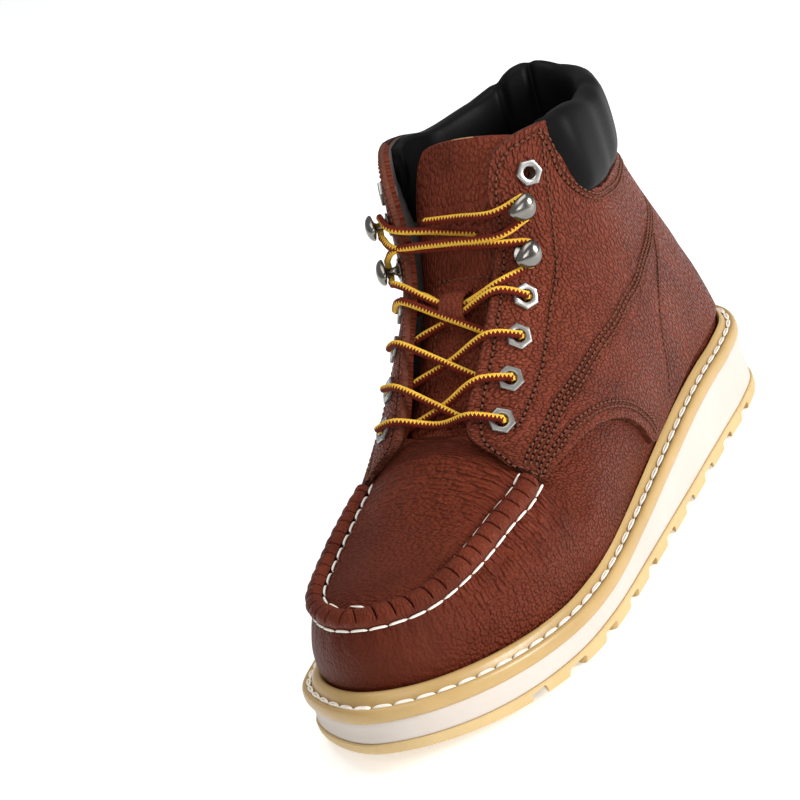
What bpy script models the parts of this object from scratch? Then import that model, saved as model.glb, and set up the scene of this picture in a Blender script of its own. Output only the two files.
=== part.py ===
"""Left moc toe work boot, built as an assembly of named pieces."""
import math

import bmesh
import bpy
import numpy as np
from mathutils import Matrix, Vector

MM = 0.001
MERGE = 0.00001
OBJECT_NAME = "moc_toe_work_boot"

# Sizes in millimetres. Along runs from the heel to the toe, out is lateral, up is the height.
LENGTH = 300.0
GAP = 0.3
QUARTER_GAP = 0.8
WALL = 2.0
LEATHER = 1.6
QUARTER_TOP = QUARTER_GAP + LEATHER
OUTSOLE_THICK = 6.0
GROOVE_DEPTH = 3.2
HEEL_HEIGHT = 26.3
BALL_HEIGHT = 13.1
WEDGE_FROM = 60.0
WEDGE_TO = 210.0
TOE_SPRING = 9.7
SPRING_FROM = 205.0
FOOT_TUCK = 1.0
INSOLE_THICK = 4.0
TONGUE_THICK = 3.0
LACE_RADIUS = 1.7

# One row for each section from the toe round the lateral side to the heel.
# along, lateral and medial give the sole's plan, inset is the upper's distance from it.
# low, high and top are points (along, out, up) of the upper above that place on the sole.
# top_medial is how far out the medial top edge lies, crown is the height of the toe plug.
SECTION_COLUMNS = ("name", "along", "lateral", "medial", "inset", "low", "high", "top", "top_medial", "crown")
SECTIONS = (
    ("toe tip", 300, 0, 0, 11.5, (290.5, 0, 35), (289, 0, 47.5), (282.5, 0, 57), 0, 0),
    ("toe round", 293, 18.5, 21, 11, (285.5, 15, 34.5), (284.5, 14.3, 47), (279.6, 11.8, 57), 12.2, 1.5),
    ("toe corner", 277, 34, 40.3, 11, (272.5, 27.5, 33.5), (271, 27, 46), (268.5, 24.2, 57), 25, 5),
    ("toe side", 255, 45.5, 49.5, 10, (251.5, 39.5, 32.5), (250.5, 37.3, 46.5), (249, 31, 58.3), 31, 7.2),
    ("ball front", 228, 52.6, 54.5, 8, (227.5, 47, 33), (227, 43.6, 48.5), (226.5, 34.6, 61), 34.6, 9.7),
    ("ball", 203, 53.9, 54.8, 7.5, (203.5, 48.7, 33.5), (203.5, 45.5, 50.5), (203.5, 36.5, 64), 36.5, 14.5),
    ("flap", 186, 53, 53, 7.3, (189, 49.5, 39), (196, 43, 58), (202, 25.5, 72.5), 26, 7),
    ("throat", 168, 51.3, 49.3, 7.2, (176, 49, 45), (187.5, 40, 67.5), (198, 14, 83), 14.5, -1.5),
    ("instep", 140, 48.8, 43.4, 7.8, (150, 46.5, 53), (162, 39, 83), (172, 15.5, 105), 17.5, 0),
    ("eyestay", 112, 46.3, 41, 8.5, (125, 44.5, 62), (138, 37.5, 99), (147, 17.5, 129.5), 20.5, 0),
    ("eyestay top", 85, 43.7, 41.2, 8, (104, 42.3, 73), (123, 37.5, 122), (131.5, 20.5, 163), 27, 0),
    ("collar front", 64, 41.8, 40.1, 7.5, (86, 40.2, 77), (106, 40.8, 126), (107, 36, 166), 38, 0),
    ("ankle", 44, 39.8, 38.9, 6.8, (63, 35.7, 76), (82, 36.2, 121), (82, 35.4, 158), 36, 0),
    ("heel side", 22, 34.5, 34.5, 6.2, (41, 28.6, 75), (59, 28, 118), (60, 27.2, 157), 27.6, 0),
    ("heel corner", 7, 21.5, 21.5, 6, (24.5, 16.8, 73), (43, 16.4, 116), (46.5, 15.2, 156.5), 15.2, 0),
    ("heel back", 0, 0, 0, 6, (16, 0, 70), (36.5, 0, 115), (41, 0, 156), 0, 0),
)
ROW = {name: i for i, name in enumerate(SECTION_COLUMNS)}
STATION = {row[0]: i for i, row in enumerate(SECTIONS)}
HALF = len(SECTIONS) - 1
ROUND = 2 * HALF
LOW_WIDTH_SHARE = 0.8
HIGH_WIDTH_SHARE = 0.4
COLUMNS_A_SECTION = 2
WALL_ROWS = np.linspace(0.0, 1.0, 10)
PLUG_ACROSS = 6

# Where each quarter starts above the vamp and where it stops under the collar, by section name.
QUARTER_FROM = {"ball": 0.97, "flap": 0.76, "throat": 0.64,
                "instep": 0.41, "eyestay": 0.11, "eyestay top": 0.08}
QUARTER_TO = {"collar front": 0.73, "ankle": 0.75, "heel side": 0.76, "heel corner": 0.76, "heel back": 0.755}
COLLAR_STEP = 0.12
COLLAR_FRONT_GAP = 0.08
HEEL_SLIT = 0.02

# Tongue rows from under the plug to the top: along, up, half width, drop of the edges.
TONGUE_ROWS = (
    (206, 73.8, 19, 5),
    (195, 79.3, 22, 6.5),
    (184, 87.3, 23, 8),
    (171, 98.3, 24, 9.5),
    (158, 110, 25, 11),
    (146.5, 123, 26, 11.5),
    (137, 138, 28, 12),
    (127, 152, 29, 12),
    (115, 166, 29, 12),
)

EYELETS = ("eyelet", "eyelet", "eyelet", "eyelet", "hook", "hook", "eyelet")
EYELET_FIRST = 7.17
EYELET_STEP = 0.51
EYELET_HEIGHT = 0.88
FLAP_EDGE = 0.99
FLAP_OUT_AT = 0.97
EYELET_FLAT = 9.2
EYELET_GAP = 0.6
EYELET_RISE = 1.3
EYELET_BORE = 2.3
BORE_REACH = 3.0
HOLE_CLEARANCE = 0.4
HOLE_DEPTH = 3 * LEATHER + WALL

# Tread: wavy grooves across the sole, between a plain heel pad and a plain toe pad.
GROOVE_FIRST = 50.0
GROOVE_PITCH = 22.6
GROOVE_COUNT = 10
GROOVE_WIDTH = 9.5
WAVE_LENGTH = 24.8
WAVE_HEIGHT = 4.0
WAVE_STEPS = 4

# How far each layer of the sole lies in from the plan.
TREAD_IN = 1.6
OUTSOLE_IN = 0.6
FOAM_IN = 1.2
FOAM_WAIST_IN = 1.7

# Welt section: distance in from the sole's edge and height above its underside.
WELT_SECTION = ((0.8, 0.0), (0.0, 2.4), (0.3, 5.4), (1.5, 6.4), (2.8, 6.0), (4.2, 6.6))
WELT_BEAD = 8.6
WELT_BEAD_PLACE = 0.5
WELT_INNER = (8.2, 0.0)
WELT_SEARCH_TO = 0.6
WELT_SEARCH_STEPS = 61

COLOURS = {
    "leather": ((0.14, 0.032, 0.02, 1), 0.5, 0.0),
    "collar_cloth": ((0.024, 0.024, 0.026, 1), 0.65, 0.0),
    "tan_rubber": ((0.72, 0.5, 0.2, 1), 0.6, 0.0),
    "white_foam": ((0.9, 0.84, 0.74, 1), 0.7, 0.0),
    "insole_felt": ((0.12, 0.1, 0.09, 1), 0.9, 0.0),
    "tongue_leather": ((0.16, 0.05, 0.03, 1), 0.6, 0.0),
    "nickel": ((0.75, 0.74, 0.72, 1), 0.2, 1.0),
    "dark_chrome": ((0.3, 0.29, 0.28, 1), 0.15, 1.0),
    "lace_cord": ((0.8, 0.45, 0.05, 1), 0.8, 0.0),
}


def column(name):
    """Values of one column of the section table, lateral sections first, then back along the medial side."""
    values = [row[ROW[name]] for row in SECTIONS]
    return np.array(values + values[-2:0:-1], float)


def section_points(name, width_share):
    """Upper points of one column, with the medial side narrower or wider as its sole is."""
    lateral = np.array([row[ROW[name]] for row in SECTIONS], float)
    medial = lateral.copy()
    sides = np.array([(row[ROW["lateral"]], row[ROW["medial"]]) for row in SECTIONS], float)
    medial[:, 1] = -(lateral[:, 1] + (sides[:, 1] - sides[:, 0]) * width_share)
    return np.vstack([lateral, medial[-2:0:-1]])


def plan_points():
    lateral = [(row[ROW["along"]], row[ROW["lateral"]]) for row in SECTIONS]
    medial = [(row[ROW["along"]], -row[ROW["medial"]]) for row in SECTIONS]
    return np.array(lateral + medial[-2:0:-1], float)


def top_points():
    lateral = np.array([row[ROW["top"]] for row in SECTIONS], float)
    medial = lateral.copy()
    medial[:, 1] = [-row[ROW["top_medial"]] for row in SECTIONS]
    return np.vstack([lateral, medial[-2:0:-1]])


PLAN = plan_points()
SPAN = np.linalg.norm(np.roll(PLAN, -1, axis=0) - PLAN, axis=1)


def around(values, u):
    """Smooth closed curve through one value for each section, at section numbers u."""
    values = np.asarray(values, float)
    values = values.reshape(len(values), -1)
    u = np.mod(np.asarray(u, float), ROUND)
    i = np.minimum(u.astype(int), ROUND - 1)
    t = (u - i)[..., None]
    before = np.roll(SPAN, 1)
    slope = (np.roll(values, -1, 0) - np.roll(values, 1, 0)) / (before + SPAN)[:, None]
    a = values[i]
    b = values[(i + 1) % ROUND]
    step = SPAN[i][..., None]
    ma = slope[i] * step
    mb = slope[(i + 1) % ROUND] * step
    curve = a + ma * t + (3 * (b - a) - 2 * ma - mb) * t**2 + (2 * (a - b) + ma + mb) * t**3
    return curve


def plan(u, inset=0.0):
    """Plan of the sole at section numbers u, moved in by inset."""
    nudge = 0.01
    here = around(PLAN, u)
    run = around(PLAN, np.asarray(u) + nudge) - around(PLAN, np.asarray(u) - nudge)
    run /= np.linalg.norm(run, axis=-1, keepdims=True)
    inward = np.stack([-run[..., 1], run[..., 0]], -1)
    return here + inward * np.asarray(inset)[..., None]


def spring(along):
    """Rise of the sole's underside towards the toe."""
    t = np.clip((along - SPRING_FROM) / (LENGTH - SPRING_FROM), 0, 1)
    return TOE_SPRING * t**2


def welt_under(along):
    """Height of the welt's underside, from the heel down the wedge to the ball and up to the toe."""
    t = np.clip((along - WEDGE_FROM) / (WEDGE_TO - WEDGE_FROM), 0, 1)
    return HEEL_HEIGHT + (BALL_HEIGHT - HEEL_HEIGHT) * t * t * (3 - 2 * t) + spring(along)


def with_height(flat, up):
    return np.concatenate([flat, np.asarray(up)[..., None]], -1)


def foot_line(u):
    inset = around(column("inset"), u)[..., 0] + FOOT_TUCK
    flat = plan(u, inset)
    return with_height(flat, welt_under(flat[..., 0]) + GAP)


LOW_POINTS = section_points("low", LOW_WIDTH_SHARE)
HIGH_POINTS = section_points("high", HIGH_WIDTH_SHARE)
TOP_POINTS = top_points()


def wall(u, v):
    """Outer face of the upper: u is the section number, v runs from the welt (0) to the top edge (1)."""
    u, v = np.broadcast_arrays(np.asarray(u, float), np.asarray(v, float))
    t = 3 * v[..., None]
    a = -(t - 1) * (t - 2) * (t - 3) / 6
    b = t * (t - 2) * (t - 3) / 2
    c = -t * (t - 1) * (t - 3) / 2
    d = t * (t - 1) * (t - 2) / 6
    lower = a * foot_line(u) + b * around(LOW_POINTS, u)
    return lower + c * around(HIGH_POINTS, u) + d * around(TOP_POINTS, u)


def wall_normal(u, v):
    nudge = 0.02
    run_u = wall(np.asarray(u) + nudge, v) - wall(np.asarray(u) - nudge, v)
    run_v = wall(u, np.asarray(v) + nudge) - wall(u, np.asarray(v) - nudge)
    normal = np.cross(run_u, run_v)
    return normal / np.linalg.norm(normal, axis=-1, keepdims=True)


def offset_wall(u, v, distance):
    return wall(u, v) + wall_normal(u, v) * np.asarray(distance)[..., None]


def plug(u, w):
    """Outer face of the toe plug: u is the lateral section number, w runs across from lateral to medial."""
    u, w = np.broadcast_arrays(np.asarray(u, float), np.asarray(w, float))
    lateral = wall(u, 1.0)
    medial = wall(ROUND - u, 1.0)
    point = lateral + (medial - lateral) * w[..., None]
    crown = around(column("crown"), u)[..., 0]
    point[..., 2] += crown * (1 - (2 * w - 1) ** 2)
    return point


SOLE_COLUMNS = np.arange(0, ROUND, 1 / COLUMNS_A_SECTION)
SOLE_OUT = plan(SOLE_COLUMNS)[:, 1]
PLAN_MIDDLE = (SOLE_OUT.max() + SOLE_OUT.min()) / 2


def world(points):
    """Metres in the part's frame: toe at minus X, lateral side at minus Y."""
    points = np.asarray(points, float)
    x = LENGTH / 2 - points[..., 0]
    y = PLAN_MIDDLE - points[..., 1]
    return np.stack([x, y, points[..., 2]], -1) * MM


def world_direction(direction):
    return Vector((-direction[0], -direction[1], direction[2])).normalized()


def clear_scene():
    for obj in list(bpy.data.objects):
        bpy.data.objects.remove(obj, do_unlink=True)
    for group in list(bpy.data.collections):
        bpy.data.collections.remove(group)


def new_collection(name):
    group = bpy.data.collections.new(name)
    bpy.context.scene.collection.children.link(group)
    return group


def make_materials():
    materials = {}
    for name, (colour, roughness, metallic) in COLOURS.items():
        material = bpy.data.materials.new(name)
        material.use_nodes = True
        shader = material.node_tree.nodes["Principled BSDF"]
        shader.inputs["Base Color"].default_value = colour
        shader.inputs["Roughness"].default_value = roughness
        shader.inputs["Metallic"].default_value = metallic
        materials[name] = material
    return materials


clear_scene()
PARTS = new_collection(OBJECT_NAME)
CUTTERS = new_collection("cutters")
MATERIALS = make_materials()


def add_object(name, data, material=None):
    obj = bpy.data.objects.new(name, data)
    if material:
        data.materials.append(MATERIALS[material])
        PARTS.objects.link(obj)
    else:
        CUTTERS.objects.link(obj)
        obj.hide_render = True
        obj.display_type = "WIRE"
    return obj


def add_mesh(name, points, faces, material=None):
    """Object from boot points in millimetres, with its faces turned outwards."""
    mesh = bpy.data.meshes.new(name)
    mesh.from_pydata([tuple(p) for p in world(points).reshape(-1, 3)], [], faces)
    work = bmesh.new()
    work.from_mesh(mesh)
    bmesh.ops.remove_doubles(work, verts=work.verts, dist=MERGE)
    bmesh.ops.dissolve_degenerate(work, edges=work.edges, dist=MERGE)
    bmesh.ops.recalc_face_normals(work, faces=work.faces)
    work.to_mesh(mesh)
    work.free()
    return add_object(name, mesh, material)


def grid_faces(rows, columns, first=0):
    faces = []
    for r in range(rows - 1):
        for c in range(columns - 1):
            a = first + r * columns + c
            faces.append((a, a + 1, a + columns + 1, a + columns))
    return faces


def add_solidify(obj, thickness, offset):
    shell = obj.modifiers.new("leather thickness", "SOLIDIFY")
    shell.thickness = thickness * MM
    shell.offset = offset
    shell.use_even_offset = True
    return shell


def cut(obj, cutter, operation="DIFFERENCE"):
    change = obj.modifiers.new(cutter.name, "BOOLEAN")
    change.operation = operation
    change.object = cutter
    change.solver = "EXACT"


def ladder(ring):
    """Faces across a closed ring, joining each lateral point to its medial twin."""
    count = len(ring)
    faces = [(ring[0], ring[1], ring[count - 1])]
    for i in range(1, count // 2 - 1):
        faces.append((ring[i], ring[i + 1], ring[count - i - 1], ring[count - i]))
    half = count // 2
    faces.append((ring[half - 1], ring[half], ring[half + 1]))
    return faces


def stacked(name, rings, material):
    """Solid from closed rings, one above the other, closed across the first and the last."""
    count = len(rings[0])
    faces = ladder(list(range(count)))
    last = (len(rings) - 1) * count
    faces += ladder(list(range(last, last + count)))
    for level in range(len(rings) - 1):
        for i in range(count):
            j = (i + 1) % count
            a = level * count
            faces.append((a + i, a + j, a + count + j, a + count + i))
    return add_mesh(name, np.array(rings), faces, material)


def swept(name, sections, material, closed):
    """Solid from closed cross-sections, joined in turn, either round in a ring or with filled ends."""
    count = len(sections[0])
    total = len(sections)
    faces = []
    for s in range(total if closed else total - 1):
        following = ((s + 1) % total) * count
        for i in range(count):
            j = (i + 1) % count
            faces.append((s * count + i, s * count + j, following + j, following + i))
    if not closed:
        faces.append(tuple(range(count)))
        faces.append(tuple(range((total - 1) * count, total * count)))
    return add_mesh(name, np.array(sections), faces, material)


def make_sole():
    u = SOLE_COLUMNS
    edge = plan(u, OUTSOLE_IN)
    foot = plan(u, TREAD_IN)
    lowest = with_height(foot, spring(foot[:, 0]))
    middle = with_height(edge, spring(edge[:, 0]) + OUTSOLE_THICK / 2)
    upper = with_height(edge, spring(edge[:, 0]) + OUTSOLE_THICK)
    outsole = stacked("outsole", [lowest, middle, upper], "tan_rubber")
    for number in range(GROOVE_COUNT):
        cut(outsole, groove_cutter(number))

    base = plan(u, FOAM_IN)
    waist = plan(u, FOAM_WAIST_IN)
    rise = welt_under(waist[:, 0])
    floor = spring(base[:, 0]) + OUTSOLE_THICK + GAP
    rings = [with_height(base, floor)]
    rings.append(with_height(waist, (floor + rise - GAP) / 2))
    rings.append(with_height(base, welt_under(base[:, 0]) - GAP))
    stacked("midsole", rings, "white_foam")


def groove_cutter(number):
    """One wavy groove across the tread, as a flat outline with a height."""
    along = GROOVE_FIRST + GROOVE_PITCH * number
    reach = max(PLAN[:, 1]) + WAVE_LENGTH / 2
    count = int(2 * reach / WAVE_LENGTH * WAVE_STEPS)
    out = np.linspace(-reach, reach, count + 1)
    wave = WAVE_HEIGHT * np.cos(2 * math.pi * out / WAVE_LENGTH)
    front = np.stack([along + wave + GROOVE_WIDTH / 2, out], -1)
    back = np.stack([along + wave - GROOVE_WIDTH / 2, out], -1)
    outline = np.vstack([front, back[::-1]])
    top = spring(along) + GROOVE_DEPTH
    floor = -GROOVE_DEPTH
    rings = [with_height(outline, np.full(len(outline), level)) for level in (floor, top)]
    points = np.vstack(rings)
    n = len(outline)
    half = n // 2
    faces = []
    for i in range(n):
        j = (i + 1) % n
        faces.append((i, j, n + j, n + i))
    for i in range(half - 1):
        faces.append((i, i + 1, n - 2 - i, n - 1 - i))
        faces.append((n + i, n + i + 1, n + n - 2 - i, n + n - 1 - i))
    return add_mesh(f"groove_cutter_{number + 1}", points, faces)


def make_welt():
    """Ring round the upper, with a stitching groove and a raised bead against the leather."""
    sections = []
    for u in SOLE_COLUMNS:
        profile = []
        for inset, rise in WELT_SECTION:
            flat = plan(u, inset)
            profile.append(with_height(flat, welt_under(flat[0]) + rise))
        under = welt_under(plan(u)[0])
        inner = []
        for rise in WELT_INNER:
            v = rise_to_v(u, under + max(rise, GAP))
            point = offset_wall(u, v, GAP)
            point[2] = under + rise
            inner.append(point)
        crest = inner[0] + (profile[-1] - inner[0]) * WELT_BEAD_PLACE
        crest[2] = under + WELT_BEAD
        sections.append(np.array(profile + [crest] + inner))
    swept("welt", sections, "tan_rubber", closed=True)


def rise_to_v(u, height):
    """Share of the way up the wall at which it reaches a height."""
    v = np.linspace(0, WELT_SEARCH_TO, WELT_SEARCH_STEPS)
    return float(np.interp(height, wall(np.full_like(v, u), v)[:, 2], v))


def make_insole():
    u = SOLE_COLUMNS
    inset = around(column("inset"), u)[:, 0] + FOOT_TUCK + WALL + 3 * GAP
    flat = plan(u, inset)
    floor = welt_under(flat[:, 0])
    rings = [with_height(flat, floor), with_height(flat, floor + INSOLE_THICK)]
    stacked("insole", rings, "insole_felt")


def make_upper():
    """Wall and toe plug as one open surface, then given the leather's thickness."""
    u = SOLE_COLUMNS
    count = len(u)
    points = [wall(u, v) for v in WALL_ROWS]
    faces = []
    for r in range(len(WALL_ROWS) - 1):
        for c in range(count):
            d = (c + 1) % count
            faces.append((r * count + c, r * count + d, (r + 1) * count + d, (r + 1) * count + c))
    points = np.vstack(points)
    top = (len(WALL_ROWS) - 1) * count
    last = STATION["throat"] * COLUMNS_A_SECTION
    across = np.linspace(0, 1, PLUG_ACROSS + 1)[1:-1]
    rows = []
    for i in range(1, last + 1):
        inner = plug(np.full_like(across, u[i]), across)
        first = len(points)
        points = np.vstack([points, inner])
        rows.append([top + i] + list(range(first, first + len(across))) + [top + count - i])
    for a, b in zip(rows[0], rows[0][1:]):
        faces.append((top, a, b))
    for row, following in zip(rows, rows[1:]):
        for k in range(len(row) - 1):
            faces.append((row[k], following[k], following[k + 1], row[k + 1]))
    upper = add_mesh("upper", points, faces, "leather")
    face_outwards(upper)
    add_solidify(upper, WALL, -1)
    return upper


def face_outwards(obj):
    """Turn an open surface so that its faces look away from the middle of the boot."""
    work = bmesh.new()
    work.from_mesh(obj.data)
    work.normal_update()
    middle = sum((v.co for v in work.verts), Vector()) / len(work.verts)
    score = sum((f.calc_center_median() - middle).dot(f.normal) * f.calc_area() for f in work.faces)
    if score < 0:
        bmesh.ops.reverse_faces(work, faces=work.faces)
    work.to_mesh(obj.data)
    work.free()


def between(table, name_to_u, u):
    """Straight-line value at section number u from a table by section name."""
    known = sorted((name_to_u[name], value) for name, value in table.items())
    return float(np.interp(u, [k[0] for k in known], [k[1] for k in known]))


def quarter_range(u):
    low = between(QUARTER_FROM, STATION, u)
    corner = STATION["collar front"]
    high = between(QUARTER_TO, STATION, u) if u > corner else 1.0
    return low, high


def make_quarter(name, side):
    """Outer leather of one side, over the vamp's edge and up to the collar."""
    corner = STATION["collar front"]
    u = np.arange(STATION["ball"], HALF + 0.01, 1 / COLUMNS_A_SECTION)
    u = np.sort(np.append(u, corner + COLLAR_STEP))
    grid = []
    for here in u:
        low, high = quarter_range(here)
        v = np.clip(WALL_ROWS, low, high)
        place = np.full_like(v, here if side > 0 else ROUND - here)
        if here == HALF:
            place -= side * HEEL_SLIT
        grid.append(offset_wall(place, v, np.full_like(v, QUARTER_GAP)))
    quarter = add_mesh(name, np.array(grid), grid_faces(len(u), len(WALL_ROWS)), "leather")
    face_outwards(quarter)
    add_solidify(quarter, LEATHER, 1)
    return quarter


SEAM_END_SHORT = 0.1


def make_moc_seam():
    """Raised roll over the joint of wall and plug, from flap to flap round the toe."""
    end = STATION["ball"] - SEAM_END_SHORT
    half = np.arange(0, end, 1 / COLUMNS_A_SECTION)
    lateral = np.append(half, end)
    sections = []
    for u in list(lateral[::-1]) + list(ROUND - lateral[1:]):
        sections.append(seam_section(u))
    swept("moc_seam", sections, "leather", closed=False)


# Seam section: reach to each side of the joint, rise, and where the joint's two directions are taken.
SEAM_REACH = 4.6
SEAM_RISE = 3.4
SEAM_LIFT = GAP + 0.1
SEAM_BASE_LIFT = 1.3 * SEAM_LIFT
SEAM_SHOULDER = 0.6
SEAM_FLAT = 1.6
SEAM_SIDE_RISE = 0.5 * SEAM_RISE
SEAM_DOWN_TO = 0.92
SEAM_OUT_AT = 0.97
SEAM_PLUG_SHARE = 0.06
TOE_FAN = 0.6


def seam_section(u):
    joint = wall(u, 1.0)
    down = wall(u, SEAM_DOWN_TO) - joint
    down /= np.linalg.norm(down)
    lateral_u = u if u <= HALF else ROUND - u
    w = SEAM_PLUG_SHARE if u <= HALF else 1 - SEAM_PLUG_SHARE
    if lateral_u < TOE_FAN:
        inward = plug(lateral_u + TOE_FAN, 0.5) - joint
    else:
        inward = plug(lateral_u, w) - joint
    inward /= np.linalg.norm(inward)
    outward = wall_normal(u, SEAM_OUT_AT)
    along = np.cross(outward, down)
    upward = np.cross(inward, along)
    upward *= np.sign(upward[2])
    upward /= np.linalg.norm(upward)
    crest = outward + upward
    crest /= np.linalg.norm(crest)
    low = joint + down * SEAM_REACH + outward * SEAM_LIFT
    base = joint + crest * SEAM_BASE_LIFT
    high = joint + inward * SEAM_REACH + upward * SEAM_LIFT
    return np.array([
        low,
        base,
        high,
        high + upward * SEAM_SIDE_RISE - inward * SEAM_SHOULDER,
        joint + inward * SEAM_FLAT + crest * SEAM_RISE,
        joint + down * SEAM_FLAT + crest * SEAM_RISE,
        low + outward * SEAM_SIDE_RISE - down * SEAM_SHOULDER,
    ])


def make_collar():
    """Padded cuff that wraps the top of the wall round the ankle, from one front corner to the other."""
    corner = STATION["collar front"]
    u = np.arange(corner + 0.5, HALF + 0.01, 1 / COLUMNS_A_SECTION)
    u = np.concatenate([[corner + COLLAR_STEP + COLLAR_FRONT_GAP], u])
    sections = []
    for here in list(u) + list(ROUND - u[-2::-1]):
        sections.append(collar_section(here))
    swept("collar", sections, "collar_cloth", closed=False)


# Collar section: place between its lower edge and the top, distance out from the wall, rise over the top.
COLLAR_OUTER = ((0.0, 2.6, 0.0), (0.3, 5.6, 0.0), (0.7, 6.2, 0.0), (1.0, 4.6, 2.6), (1.0, 0.8, 5.2))
COLLAR_INNER = ((1.0, -3.8, 4.8), (1.0, -6.6, 1.2), (0.55, -6.2, 0.0), (0.1, -4.2, 0.0))
COLLAR_EDGE_GAP = 0.02
COLLAR_SLOT = WALL + 2 * GAP
COLLAR_SLOT_ROWS = (0.9, 1.0)


def collar_section(u):
    lateral_u = u if u <= HALF else ROUND - u
    low = quarter_range(lateral_u)[1] + COLLAR_EDGE_GAP
    points = []
    for place, out, rise in COLLAR_OUTER + COLLAR_INNER:
        point = offset_wall(u, low + (1 - low) * place, out)
        point[2] += rise
        points.append(point)
    points.append(offset_wall(u, low + (1 - low) * COLLAR_INNER[-1][0], -COLLAR_SLOT))
    for v in COLLAR_SLOT_ROWS:
        points.append(offset_wall(u, v, -COLLAR_SLOT))
    for out in (-COLLAR_SLOT, 2 * GAP):
        lip = offset_wall(u, 1.0, out)
        lip[2] += 2 * GAP
        points.append(lip)
    for v in COLLAR_SLOT_ROWS[::-1]:
        points.append(offset_wall(u, v, 2 * GAP))
    points.append(offset_wall(u, low, 2 * GAP))
    return np.array(points)


def smooth_rows(table, count):
    """Rows of a table read at even steps along a smooth curve through them."""
    table = np.asarray(table, float)
    place = np.linspace(0, len(table) - 1, count)
    i = np.minimum(place.astype(int), len(table) - 2)
    t = (place - i)[:, None]
    slope = np.gradient(table, axis=0)
    a, b = table[i], table[i + 1]
    ma, mb = slope[i], slope[i + 1]
    return a + ma * t + (3 * (b - a) - 2 * ma - mb) * t**2 + (2 * (a - b) + ma + mb) * t**3


TONGUE_STEPS = 17
TONGUE_FINE_STEPS = 81
TONGUE_ACROSS = 6


def tongue_point(row, run, place):
    """Outer face of the tongue at one row, across from medial (-1) to lateral (1)."""
    along, up, half, drop = row
    inward = np.array([-run[1], run[0]])
    inward *= -np.sign(inward[1])
    sink = drop * place**2
    return np.array([along + inward[0] * sink, half * place, up + inward[1] * sink])


def tongue_grid(steps):
    rows = smooth_rows(TONGUE_ROWS, steps)
    run = np.gradient(rows[:, :2], axis=0)
    run /= np.linalg.norm(run, axis=1, keepdims=True)
    across = np.linspace(-1, 1, TONGUE_ACROSS + 1)
    return np.array([[tongue_point(r, d, w) for w in across] for r, d in zip(rows, run)])


def make_tongue():
    grid = tongue_grid(TONGUE_STEPS)
    tongue = add_mesh("tongue", grid, grid_faces(*grid.shape[:2]), "tongue_leather")
    face_outwards(tongue)
    add_solidify(tongue, TONGUE_THICK, -1)


def eyelet_place(side, number):
    """Section number on one side for an eyelet or hook, counted from the toe."""
    u = EYELET_FIRST + EYELET_STEP * number
    return u if side > 0 else ROUND - u


def eyelet_frame(side, number, rise):
    """Point above the quarter at an eyelet, and the way out of the leather there."""
    u = eyelet_place(side, number)
    outward = wall_normal(u, EYELET_HEIGHT)
    return wall(u, EYELET_HEIGHT) + outward * (QUARTER_TOP + rise), outward


def placed(obj, point, outward):
    """Stand an object on a boot point with its Z axis along a direction."""
    turn = world_direction(outward).to_track_quat("Z", "Y").to_matrix().to_4x4()
    obj.matrix_world = Matrix.Translation(Vector(world(point))) @ turn
    return obj


def prism(name, radius, low, high, sides, material=None):
    """Upright prism or cylinder between two heights."""
    mesh = bpy.data.meshes.new(name)
    work = bmesh.new()
    depth = (high - low) * MM
    size = radius * MM
    bmesh.ops.create_cone(work, cap_ends=True, segments=sides, radius1=size, radius2=size, depth=depth)
    bmesh.ops.translate(work, verts=work.verts, vec=(0, 0, (low + high) / 2 * MM))
    work.to_mesh(mesh)
    work.free()
    return add_object(name, mesh, material)


def make_eyelet(name, side, number):
    point, outward = eyelet_frame(side, number, EYELET_GAP)
    corner = EYELET_FLAT / math.sqrt(3)
    flange = placed(prism(name, corner, 0, EYELET_RISE, 6, "nickel"), point, outward)
    bore = placed(prism(name + "_bore", EYELET_BORE, -BORE_REACH, BORE_REACH, 12), point, outward)
    cut(flange, bore)
    wide = EYELET_BORE + HOLE_CLEARANCE
    hole = placed(prism(name + "_hole", wide, -HOLE_DEPTH, BORE_REACH, 6), point, outward)
    cut(UPPER, hole)
    cut(QUARTERS[side], hole)


# Hook profile: radius and height of the plate, the neck and the round head.
HOOK_PROFILE = ((0, 0), (4.6, 0), (4.4, 0.8), (1.6, 1.0), (1.6, 6.2), (5.2, 6.6), (4.2, 8.4), (0, 9.2))
HOOK_STEPS = 10
NECK_RADIUS = HOOK_PROFILE[3][0]
PLATE_RISE = HOOK_PROFILE[3][1]


def make_hook(name, side, number):
    point, outward = eyelet_frame(side, number, EYELET_GAP)
    mesh = bpy.data.meshes.new(name)
    corners = [(radius * MM, 0, height * MM) for radius, height in HOOK_PROFILE]
    mesh.from_pydata(corners, [(i, i + 1) for i in range(len(corners) - 1)], [])
    hook = placed(add_object(name, mesh, "dark_chrome"), point, outward)
    turn = hook.modifiers.new("turned", "SCREW")
    turn.steps = HOOK_STEPS
    turn.render_steps = HOOK_STEPS
    turn.use_merge_vertices = True
    turn.merge_threshold = MERGE
    turn.use_normal_calculate = True


def make_eyelets():
    for side, word in ((1, "lateral"), (-1, "medial")):
        for number, kind in enumerate(EYELETS):
            name = f"{kind}_{word}_{number + 1}"
            if kind == "eyelet":
                make_eyelet(name, side, number)
            else:
                make_hook(name, side, number)


def middle_of(*points):
    return np.mean(points, axis=0)


TONGUE = smooth_rows(TONGUE_ROWS, TONGUE_FINE_STEPS)
TONGUE_RUN = np.gradient(TONGUE[:, :2], axis=0)
TONGUE_RUN /= np.linalg.norm(TONGUE_RUN, axis=1, keepdims=True)


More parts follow.
